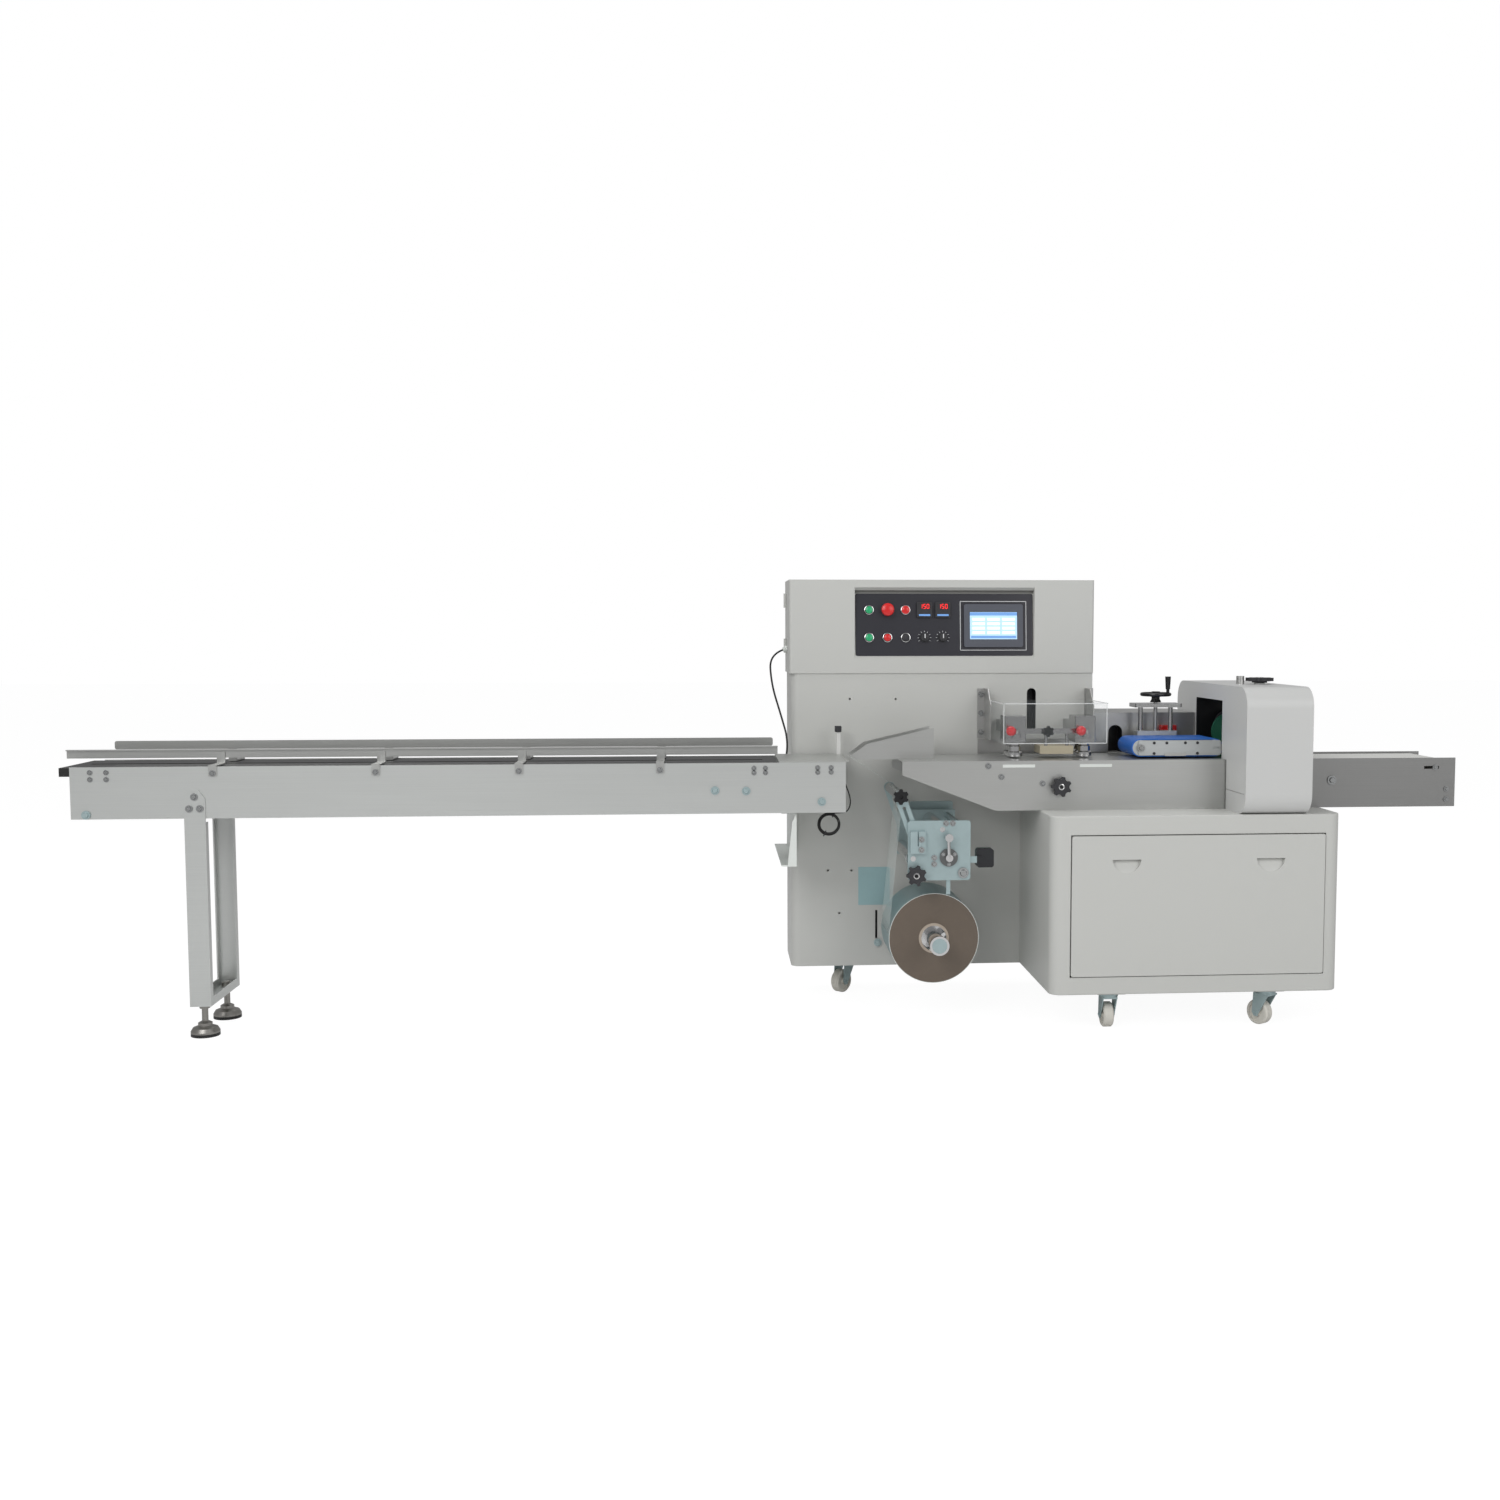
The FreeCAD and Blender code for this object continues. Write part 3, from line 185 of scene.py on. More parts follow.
@dataclass(frozen=True)
class ZonedFinish(Finish):
    """Finish of a piece made of several materials, such as a steel rod with a black knob; some zones are painted shade
    instead, in openings and recesses.
    """

    zones: tuple[Zone, ...] = ()

    def extend(self, tree: bpy.types.NodeTree, shader: bpy.types.Node, mix: bpy.types.Node) -> None:
        """Lay each zone over the base colour.

        Args:
            tree: the material's node tree.
            shader: its Principled BSDF.
            mix: the node that gives the base colour.
        """
        colour, metal = mix.outputs["Result"], None
        for zone in self.zones:
            mask = tree.nodes.new("ShaderNodeGroup")
            mask.node_tree = zone_group()
            mask.inputs["Centre"].default_value = tuple((a + b) / 2 for a, b in zip(zone.low, zone.high))
            mask.inputs["Half"].default_value = tuple((b - a) / 2 for a, b in zip(zone.low, zone.high))
            tint = tree.nodes.new("ShaderNodeMix")
            tint.data_type = "RGBA"
            tint.inputs["B"].default_value = zone.colour + (1.0,)
            tree.links.new(mask.outputs["Value"], tint.inputs["Factor"])
            tree.links.new(colour, tint.inputs["A"])
            blend = tree.nodes.new("ShaderNodeMix")
            blend.inputs["A"].default_value = self.metallic
            blend.inputs["B"].default_value = zone.metallic
            tree.links.new(mask.outputs["Value"], blend.inputs["Factor"])
            if metal:
                tree.links.new(metal, blend.inputs["A"])
            colour, metal = tint.outputs["Result"], blend.outputs["Result"]
        tree.links.new(colour, shader.inputs["Base Color"])
        tree.links.new(metal, shader.inputs["Metallic"])


@dataclass(frozen=True)
class SplitFinish(Finish):
    """Finish that changes colour at a height, as a rubber base under a steel stud."""

    upper: Colour = (0.5, 0.5, 0.5)
    height: float = 0.025

    def extend(self, tree: bpy.types.NodeTree, shader: bpy.types.Node, mix: bpy.types.Node) -> None:
        """Switch colour and metal above the height.

        Args:
            tree: the material's node tree.
            shader: its Principled BSDF.
            mix: the node that gives the lower colour.
        """
        coord = tree.nodes.new("ShaderNodeTexCoord")
        split = tree.nodes.new("ShaderNodeSeparateXYZ")
        above = tree.nodes.new("ShaderNodeMath")
        above.operation = "GREATER_THAN"
        above.inputs[1].default_value = self.height
        choose = tree.nodes.new("ShaderNodeMix")
        choose.data_type = "RGBA"
        choose.inputs["B"].default_value = self.upper + (1.0,)
        tree.links.new(coord.outputs["Object"], split.inputs["Vector"])
        tree.links.new(split.outputs["Z"], above.inputs[0])
        tree.links.new(above.outputs["Value"], choose.inputs["Factor"])
        tree.links.new(mix.outputs["Result"], choose.inputs["A"])
        tree.links.new(choose.outputs["Result"], shader.inputs["Base Color"])
        tree.links.new(above.outputs["Value"], shader.inputs["Metallic"])


@dataclass(frozen=True)
class WoundFinish(Finish):
    """Wound film: fine rings on the roll's side, and pale clear wraps round its outside."""

    centre: Point = (0.0, 0.0, 0.0)
    side: float = 0.0
    wraps: Colour = (0.22, 0.31, 0.32)

    def extend(self, tree: bpy.types.NodeTree, shader: bpy.types.Node, mix: bpy.types.Node) -> None:
        """Lay rings round the roll's axis over the base colour.

        Args:
            tree: the material's node tree.
            shader: its Principled BSDF.
            mix: the node that gives the base colour.
        """
        coord = tree.nodes.new("ShaderNodeTexCoord")
        mapping = tree.nodes.new("ShaderNodeMapping")
        mapping.inputs["Location"].default_value = tuple(-c for c in self.centre)
        rings = tree.nodes.new("ShaderNodeTexWave")
        rings.wave_type = "RINGS"
        rings.rings_direction = "Y"
        rings.inputs["Scale"].default_value = 90.0
        rings.inputs["Distortion"].default_value = 3.0
        rings.inputs["Detail"].default_value = 3.0
        tint = tree.nodes.new("ShaderNodeMix")
        tint.data_type = "RGBA"
        tint.inputs["B"].default_value = tuple(c * 0.72 for c in self.colour) + (1.0,)
        tree.links.new(coord.outputs["Object"], mapping.inputs["Vector"])
        tree.links.new(mapping.outputs["Vector"], rings.inputs["Vector"])
        tree.links.new(rings.outputs["Fac"], tint.inputs["Factor"])
        tree.links.new(mix.outputs["Result"], tint.inputs["A"])
        split = tree.nodes.new("ShaderNodeSeparateXYZ")
        behind = tree.nodes.new("ShaderNodeMath")
        behind.operation = "GREATER_THAN"
        behind.inputs[1].default_value = self.side + 0.0005
        outer = tree.nodes.new("ShaderNodeMix")
        outer.data_type = "RGBA"
        outer.inputs["B"].default_value = self.wraps + (1.0,)
        tree.links.new(coord.outputs["Object"], split.inputs["Vector"])
        tree.links.new(split.outputs["Y"], behind.inputs[0])
        tree.links.new(behind.outputs["Value"], outer.inputs["Factor"])
        tree.links.new(tint.outputs["Result"], outer.inputs["A"])
        tree.links.new(outer.outputs["Result"], shader.inputs["Base Color"])


@dataclass(frozen=True)
class ClearFinish(Finish):
    """Clear sheet that is thin enough to see straight through, with gloss from its own shader."""

    alpha: float = 0.2
    rim: float = 0.15

    def extend(self, tree: bpy.types.NodeTree, shader: bpy.types.Node, mix: bpy.types.Node) -> None:
        """Let the sheet show what is behind it, less so at a glancing angle.

        Args:
            tree: the material's node tree.
            shader: its Principled BSDF.
            mix: the node that gives the sheet's tint.
        """
        rim = tree.nodes.new("ShaderNodeLayerWeight")
        rim.inputs["Blend"].default_value = 0.3
        ramp = tree.nodes.new("ShaderNodeMapRange")
        ramp.inputs["To Min"].default_value = self.alpha
        ramp.inputs["To Max"].default_value = min(1.0, self.alpha + self.rim)
        tree.links.new(rim.outputs["Facing"], ramp.inputs["Value"])
        tree.links.new(ramp.outputs["Result"], shader.inputs["Alpha"])


@dataclass(frozen=True)
class LitFinish(Finish):
    """Finish that glows, as a screen or a digit does."""

    glow: float = 0.8

    def extend(self, tree: bpy.types.NodeTree, shader: bpy.types.Node, mix: bpy.types.Node) -> None:
        """Give off the base colour as light.

        Args:
            tree: the material's node tree.
            shader: its Principled BSDF.
            mix: the node that gives the colour.
        """
        shader.inputs["Emission Strength"].default_value = self.glow
        tree.links.new(mix.outputs["Result"], shader.inputs["Emission Color"])


BODY_PAINT = Finish("body_paint", "painted_body", (0.56, 0.565, 0.54), 0.42, stretch=(900.0, 900.0, 900.0),
                    tone=0.015, relief=0.04)
SHADE = (0.006, 0.006, 0.007)
STEEL = (0.50, 0.50, 0.49)
COVER_PAINT = ZonedFinish("cover_paint", "painted_cover", (0.58, 0.585, 0.575), 0.36, stretch=(900.0,) * 3,
                          tone=0.015, zones=(Zone((1.3485, -0.1505, 0.7925), (1.5475, 0.1105, 0.9705), SHADE),
                                             Zone((1.406, -0.113, 1.0185), (1.432, -0.087, 1.044), STEEL, 0.9)))
CABINET_PAINT = ZonedFinish("cabinet_paint", "painted_body", (0.56, 0.565, 0.54), 0.42, stretch=(900.0,) * 3,
                            tone=0.015, relief=0.04,
                            zones=(Zone((0.7975, 0.1212, 0.859), (0.8275, 0.1655, 1.0005), SHADE),
                                   Zone((0.3125, 0.1212, 0.1995), (0.3205, 0.1405, 0.2915), SHADE)))
# Control box paint. Its one zone is painted shade: a darker band (0.17) along the top of the panel recess, where the
# recess's top lip shades it.
BOX_PAINT_AND_SHADE = ZonedFinish("box_paint_and_shade", "painted_body", (0.56, 0.565, 0.54), 0.42, stretch=(900.0,) * 3, tone=0.015,
                        relief=0.04, zones=(Zone((0.2462, 0.1155, 1.299), (0.8188, 0.140, 1.3095), (0.17, 0.17, 0.16)),))
WHITE_PAINT = Finish("white_paint", "painted_white", (0.72, 0.75, 0.72), 0.4, stretch=(700.0,) * 3, tone=0.02)
STAINLESS = Finish("stainless_sheet", "stainless", (0.50, 0.505, 0.49), 0.34, 0.8, (4.0, 500.0, 500.0), 0.08, 0.03)
BACK_SHEET = ZonedFinish("back_sheet", "stainless", (0.46, 0.46, 0.45), 0.34, 0.8, (4.0, 500.0, 500.0), 0.08, 0.03,
                         zones=(Zone((1.0635, 0.1212, 0.7925), (1.1095, 0.1805, 0.881), SHADE),))
# Infeed bed: the sheet's near-black base colour is painted shade for the gap under the guide rails where the bed shows.
# The zone is the bare stainless dead plate in its own colour.
BED_SHADE_AND_DEAD_PLATE = ZonedFinish("infeed_bed_shade_and_dead_plate", "stainless", (0.022, 0.022, 0.022), 0.4, 0.3, (6.0, 300.0, 300.0), 0.2,
                  zones=(Zone((-0.0085, -0.2, 0.7925), (0.2005, 0.09, 0.798), (0.50, 0.51, 0.49), 0.8),))
FIXINGS = ZonedFinish("bright_fixings", "stainless", (0.50, 0.505, 0.49), 0.34, 0.8,
                      zones=(Zone((0.1795, 0.0495, 0.7965), (0.1985, 0.0725, 0.8845), (0.72, 0.72, 0.70)),))
SIDE_PLATE = Finish("brushed_side_plate", "side_plate", (0.60, 0.615, 0.60), 0.36, 0.75, (3.0, 600.0, 600.0), 0.07, 0.03)
DARK_PLATE = Finish("outfeed_side_plate", "side_plate", (0.27, 0.27, 0.265), 0.38, 0.75, (3.0, 600.0, 600.0), 0.1, 0.03)
ZINC = Finish("pale_zinc", "zinc", (0.38, 0.48, 0.49), 0.38, 0.45, (35.0, 35.0, 35.0), 0.09, 0.03)
ALLOY = Finish("satin_alloy", "zinc", (0.50, 0.52, 0.52), 0.36, 0.6, (5.0, 300.0, 300.0), 0.06, 0.02)
SCREW = Finish("screw_steel", "zinc", (0.40, 0.41, 0.41), 0.25, 1.0, (300.0,) * 3, 0.1, 0.02)
BRACKET = ZonedFinish("film_unit_plates", "zinc", (0.38, 0.48, 0.49), 0.38, 0.45, (35.0,) * 3, 0.09, 0.03,
                      zones=(Zone((0.583, -0.221, 0.474), (0.636, -0.1795, 0.532), (0.012, 0.013, 0.016)),
                             Zone((0.468, -0.2335, 0.481), (0.524, -0.2243, 0.537), (0.16, 0.165, 0.165), 0.8)))
POLISHED = Finish("polished_steel", "polished", (0.62, 0.62, 0.62), 0.16, 1.0, (120.0, 120.0, 120.0), 0.05, 0.01)
BLACK = (0.006, 0.006, 0.007)
BLACK_PLASTIC = Finish("black_plastic", "black_plastic", BLACK, 0.36, stretch=(400.0,) * 3, tone=0.2)
TOP_ROLLER = ZonedFinish("roller_with_knob", "black_plastic", (0.45, 0.46, 0.46), 0.24, 0.9,
                         zones=(Zone((0.32, -0.26, 0.66), (0.385, -0.2045, 0.725), BLACK),))
CARRIERS = ZonedFinish("carriers_with_knob", "polished", (0.42, 0.42, 0.42), 0.2, 1.0,
                       zones=(Zone((0.80, -0.1215, 0.858), (0.836, -0.1005, 0.894), BLACK),))
HANDWHEEL = ZonedFinish("handwheel_on_screw", "black_plastic", BLACK, 0.3, tone=0.2,
                        zones=(Zone((1.19, 0.05, 0.79), (1.21, 0.07, 0.9555), STEEL, 1.0),))
JAW = ZonedFinish("jaw_with_disc", "jaw_green", (0.20, 0.20, 0.20), 0.35, 0.8,
                  zones=(Zone((1.37, 0.0515, 0.65), (1.51, 0.0645, 0.93), (0.02, 0.13, 0.075)),))
PANEL_BLACK = Finish("panel_black", "panel_black", (0.008, 0.009, 0.015), 0.5, stretch=(900.0,) * 3, tone=0.1)
SCREEN_GREY = Finish("screen_bezel", "screen_grey", (0.085, 0.092, 0.115), 0.5, stretch=(900.0,) * 3, tone=0.06)
FILM = ClearFinish("clear_film", "film", (0.80, 0.88, 0.86), 0.12, stretch=(8.0, 8.0, 3.0), alpha=0.09, relief=0.3,
                   rim=0.25)
ACRYLIC = ClearFinish("clear_acrylic", "acrylic", (0.55, 0.60, 0.60), 0.06, alpha=0.03, relief=0.0, rim=0.1)
ACRYLIC_EDGE = ClearFinish("acrylic_edge", "acrylic", (0.90, 0.92, 0.92), 0.2, alpha=0.6, relief=0.0)
HEATER = Finish("heater_beige", "heater", (0.50, 0.45, 0.33), 0.5, 0.3, (200.0,) * 3, 0.1)
BELT_BLUE = Finish("blue_belt", "belt_blue", (0.010, 0.125, 0.50), 0.42, stretch=(300.0,) * 3, tone=0.08)
BELT_WHITE = Finish("white_belt", "belt_white", (0.72, 0.72, 0.69), 0.5, stretch=(300.0,) * 3, tone=0.04)
RED_GLOSS = Finish("red_gloss", "red_ball", (0.62, 0.018, 0.028), 0.2, stretch=(200.0,) * 3, coat=0.3)
NYLON = Finish("white_nylon", "nylon", (0.68, 0.66, 0.60), 0.5, stretch=(150.0,) * 3, tone=0.06)
RUBBER = Finish("black_rubber", "rubber_black", (0.012, 0.012, 0.012), 0.6, stretch=(500.0,) * 3, tone=0.2)
FOOT = SplitFinish("foot_rubber_and_steel", "rubber_black", (0.015, 0.015, 0.015), 0.4, stretch=(300.0,) * 3,
                   tone=0.1, upper=(0.34, 0.33, 0.31), height=0.009)
CORE_CARD = Finish("core_card", "film_roll", (0.45, 0.38, 0.31), 0.75, stretch=(300.0,) * 3, tone=0.12, relief=0.2)
GREEN_CAP = Finish("green_cap", "buttons", (0.02, 0.40, 0.16), 0.25, stretch=(200.0,) * 3)
RED_CAP = Finish("red_cap", "buttons", (0.66, 0.02, 0.02), 0.25, stretch=(200.0,) * 3)
SCREEN_LIT = LitFinish("screen_lit", "screen_grey", (0.42, 0.62, 0.80), 0.3, stretch=(20.0,) * 3, glow=0.55)
SCREEN_BAR = LitFinish("screen_bar", "screen_grey", (0.14, 0.30, 0.62), 0.3, stretch=(20.0,) * 3, glow=0.5)
SCREEN_CELL = LitFinish("screen_cell", "screen_grey", (0.80, 0.88, 0.92), 0.3, stretch=(20.0,) * 3, glow=0.5)
DIGIT_RED = LitFinish("digit_red", "buttons", (0.9, 0.02, 0.02), 0.3, glow=1.2)
PRINT_GREY = Finish("printed_line", "panel_black", (0.72, 0.73, 0.74), 0.5)
NAME_PLATE = Finish("pale_plate", "zinc", (0.33, 0.50, 0.52), 0.4, 0.2, (60.0,) * 3, 0.05)

NODE_FINISH = {
    "infeed_side_plates": SIDE_PLATE, "guide_rails": STAINLESS, "infeed_bed": BED_SHADE_AND_DEAD_PLATE, "infeed_fixings": FIXINGS,
    "leg_frame": SIDE_PLATE, "levelling_feet": FOOT, "support_bracket": WHITE_PAINT, "cabinet_body": CABINET_PAINT,
    "control_box": BOX_PAINT_AND_SHADE, "control_panel": PANEL_BLACK, "touch_screen": SCREEN_GREY,
    "panel_buttons": BLACK_PLASTIC, "rear_body": BODY_PAINT, "steel_back": BACK_SHEET, "front_housing": BODY_PAINT,
    "front_door": BODY_PAINT, "table": STAINLESS, "table_knob": BLACK_PLASTIC, "forming_box": STAINLESS,
    "reel_shaft": POLISHED, "film_bracket": BRACKET, "top_roller": TOP_ROLLER, "feed_roller": POLISHED,
    "guide_roller": POLISHED, "release_lever": POLISHED, "bracket_knob": BLACK_PLASTIC, "seal_guard": ACRYLIC,
    "seal_blocks": CARRIERS, "heater_block": HEATER, "press_belt": BELT_BLUE, "press_carriage": ALLOY,
    "lift_frame": POLISHED, "handwheel": HANDWHEEL, "end_cover": COVER_PAINT, "cover_knob": BLACK_PLASTIC,
    "jaw_frame": BLACK_PLASTIC, "outfeed_frame": DARK_PLATE, "outfeed_belt": BELT_WHITE, "jaw_upper": JAW,
    "jaw_lower": JAW,
}
FAMILY_FINISH = {"seal_wheel": POLISHED, "caster_fork": ZINC, "caster_wheel": NYLON}


def lever_finish(name: str) -> Finish:
    """Steel lever with a red ball at its free end, which is its front left corner."""
    low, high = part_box(name)
    ball = 0.031
    return ZonedFinish(name + "_finish", "red_ball", STEEL, 0.22, 0.9,
                       zones=(Zone(tuple(low), (low.x + ball, low.y + ball, high.z), RED_GLOSS.colour),))


def dress_frame() -> None:
    """Give every CAD node its finish."""
    low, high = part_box("film_roll")
    wound = WoundFinish("wound_film", "film_roll", (0.16, 0.125, 0.095), 0.38, tone=0.12, stretch=(40.0, 4.0, 40.0),
                        centre=tuple((low + high) / 2), side=low.y)
    for name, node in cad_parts.items():
        finish = wound if name == "film_roll" else NODE_FINISH.get(name)
        for family, shared in FAMILY_FINISH.items():
            if name.startswith(family):
                finish = shared
        if name.startswith("seal_lever"):
            finish = lever_finish(name)
        if finish:
            node.data.materials.clear()
            node.data.materials.append(finish.material())


# ---- mesh making ---------------------------------------------------------------------------------------------
def turn_to(axis: Point) -> Matrix:
    """Rotation that takes +Z to an axis."""
    return Vector((0, 0, 1)).rotation_difference(Vector(axis)).to_matrix().to_4x4()


def lathe(bm: bmesh.types.BMesh, outline: list[tuple[float, float]], place: Matrix, steps: int = 32) -> None:
    """Add a closed turned form.

    Args:
        bm: mesh to add to.
        outline: radius and height pairs; the first and last radius may be 0, and otherwise the outline closes.
        place: where it stands, its own axis being +Z.
        steps: sides round the axis.
    """
    rings = []
    for radius, height in outline:
        if radius == 0:
            rings.append([bm.verts.new(place @ Vector((0, 0, height)))])
            continue
        rings.append([bm.verts.new(place @ Vector((radius * math.cos(2 * math.pi * i / steps),
                                                   radius * math.sin(2 * math.pi * i / steps), height)))
                      for i in range(steps)])
    pairs = list(zip(rings, rings[1:]))
    if outline[0][0] and outline[-1][0]:
        pairs.append((rings[-1], rings[0]))
    for lower, upper in pairs:
        for i in range(steps):
            j = (i + 1) % steps
            corners = [lower[i % len(lower)], lower[j % len(lower)], upper[j % len(upper)], upper[i % len(upper)]]
            unique = list(dict.fromkeys(corners))
            if len(unique) > 2:
                bm.faces.new(unique)


def slab(bm: bmesh.types.BMesh, size: Point, place: Matrix) -> None:
    """Add a box of a size, standing on its own z = 0 and centred across."""
    lift = Matrix.Translation((0, 0, size[2] / 2)) @ Matrix.Diagonal((*size, 1))
    bmesh.ops.create_cube(bm, size=1.0, matrix=place @ lift)


def finished(name: str, bm: bmesh.types.BMesh, finish: Finish, body: str = "machine",
             bevel: float = 0.0) -> bpy.types.Object:
    """Turn a mesh under construction into a piece that rides on a body.

    Args:
        name: the piece's name.
        bm: its mesh, which is used up.
        finish: its finish.
        body: the CAD body it moves with.
        bevel: width of an edge bevel, or 0.

    Returns:
        The piece.
    """
    bmesh.ops.recalc_face_normals(bm, faces=bm.faces)
    mesh = bpy.data.meshes.new(name)
    bm.to_mesh(mesh)
    bm.free()
    mesh.shade_smooth()
    mesh.set_sharp_from_angle(angle=math.radians(35))
    piece = bpy.data.objects.new(name, mesh)
    bpy.context.scene.collection.objects.link(piece)
    mesh.materials.append(finish.material())
    if bevel:
        rounding = piece.modifiers.new("edges", "BEVEL")
        rounding.width = bevel
        rounding.segments = 2
    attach(piece, body)
    log.info("%s on %s, %d faces", name, body, len(mesh.polygons))
    return piece


# ---- fasteners -----------------------------------------------------------------------------------------------
def screw_tree() -> bpy.types.NodeTree:
    """Geometry Nodes tree that sets one pan-head screw on each point, with its head towards the front.

    Returns:
        The tree, with Head Radius, Head Height and Material as its inputs.
    """
    found = bpy.data.node_groups.get("screw_set")
    if found:
        return found
    tree = bpy.data.node_groups.new("screw_set", "GeometryNodeTree")
    tree.interface.new_socket("Geometry", in_out="INPUT", socket_type="NodeSocketGeometry")
    tree.interface.new_socket("Head Radius", in_out="INPUT", socket_type="NodeSocketFloat")
    tree.interface.new_socket("Head Height", in_out="INPUT", socket_type="NodeSocketFloat")
    tree.interface.new_socket("Material", in_out="INPUT", socket_type="NodeSocketMaterial")
    tree.interface.new_socket("Geometry", in_out="OUTPUT", socket_type="NodeSocketGeometry")
    into, out = tree.nodes.new("NodeGroupInput"), tree.nodes.new("NodeGroupOutput")
    dome = tree.nodes.new("GeometryNodeMeshCone")
    dome.inputs["Vertices"].default_value = 16
    washer = tree.nodes.new("GeometryNodeMeshCylinder")
    washer.inputs["Vertices"].default_value = 20
    broad, thin = tree.nodes.new("ShaderNodeMath"), tree.nodes.new("ShaderNodeMath")
    broad.operation = thin.operation = "MULTIPLY"
    broad.inputs[1].default_value = 1.4
    thin.inputs[1].default_value = 0.5
    both = tree.nodes.new("GeometryNodeJoinGeometry")
    narrow = tree.nodes.new("ShaderNodeMath")
    narrow.operation = "MULTIPLY"
    narrow.inputs[1].default_value = 0.72
    spread = tree.nodes.new("GeometryNodeInstanceOnPoints")
    spread.inputs["Rotation"].default_value = (math.pi / 2, 0.0, 0.0)
    real = tree.nodes.new("GeometryNodeRealizeInstances")
    coat = tree.nodes.new("GeometryNodeSetMaterial")
    link = tree.links.new
    link(into.outputs["Head Radius"], dome.inputs["Radius Bottom"])
    link(into.outputs["Head Radius"], narrow.inputs[0])
    link(narrow.outputs["Value"], dome.inputs["Radius Top"])
    link(into.outputs["Head Height"], dome.inputs["Depth"])
    link(into.outputs["Geometry"], spread.inputs["Points"])
    link(into.outputs["Head Radius"], broad.inputs[0])
    link(into.outputs["Head Height"], thin.inputs[0])
    link(broad.outputs["Value"], washer.inputs["Radius"])
    link(thin.outputs["Value"], washer.inputs["Depth"])
    link(dome.outputs["Mesh"], both.inputs["Geometry"])
    link(washer.outputs["Mesh"], both.inputs["Geometry"])
    link(both.outputs["Geometry"], spread.inputs["Instance"])
    link(spread.outputs["Instances"], real.inputs["Geometry"])
    link(real.outputs["Geometry"], coat.inputs["Geometry"])
    link(into.outputs["Material"], coat.inputs["Material"])
    link(coat.outputs["Geometry"], out.inputs["Geometry"])
    return tree


@dataclass
class ScrewSet:
    """Screws of one size on one body, given by the points where their heads sit."""

    name: str
    points: list[Point]
    radius: float = 0.006
    height: float = 0.0035
    body: str = "machine"
    finish: Finish = SCREW

    def build(self) -> bpy.types.Object:
        """Set the screws.

        Returns:
            One plain mesh of all of them.
        """
        seats = bpy.data.meshes.new(self.name + "_seats")
        seats.from_pydata(self.points, [], [])
        holder = bpy.data.objects.new(self.name + "_seats", seats)
        bpy.context.scene.collection.objects.link(holder)
        tree = screw_tree()
        modifier = holder.modifiers.new("screws", "NODES")
        modifier.node_group = tree
        values = {"Head Radius": self.radius, "Head Height": self.height, "Material": self.finish.material()}
        for item in tree.interface.items_tree:
            if item.in_out == "INPUT" and item.name in values:
                modifier[item.identifier] = values[item.name]
        graph = bpy.context.evaluated_depsgraph_get()
        mesh = bpy.data.meshes.new_from_object(holder.evaluated_get(graph))
        bpy.data.objects.remove(holder)
        piece = bpy.data.objects.new(self.name, mesh)
        bpy.context.scene.collection.objects.link(piece)
        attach(piece, self.body)
        log.info("%s: %d screws", self.name, len(self.points))
        return piece


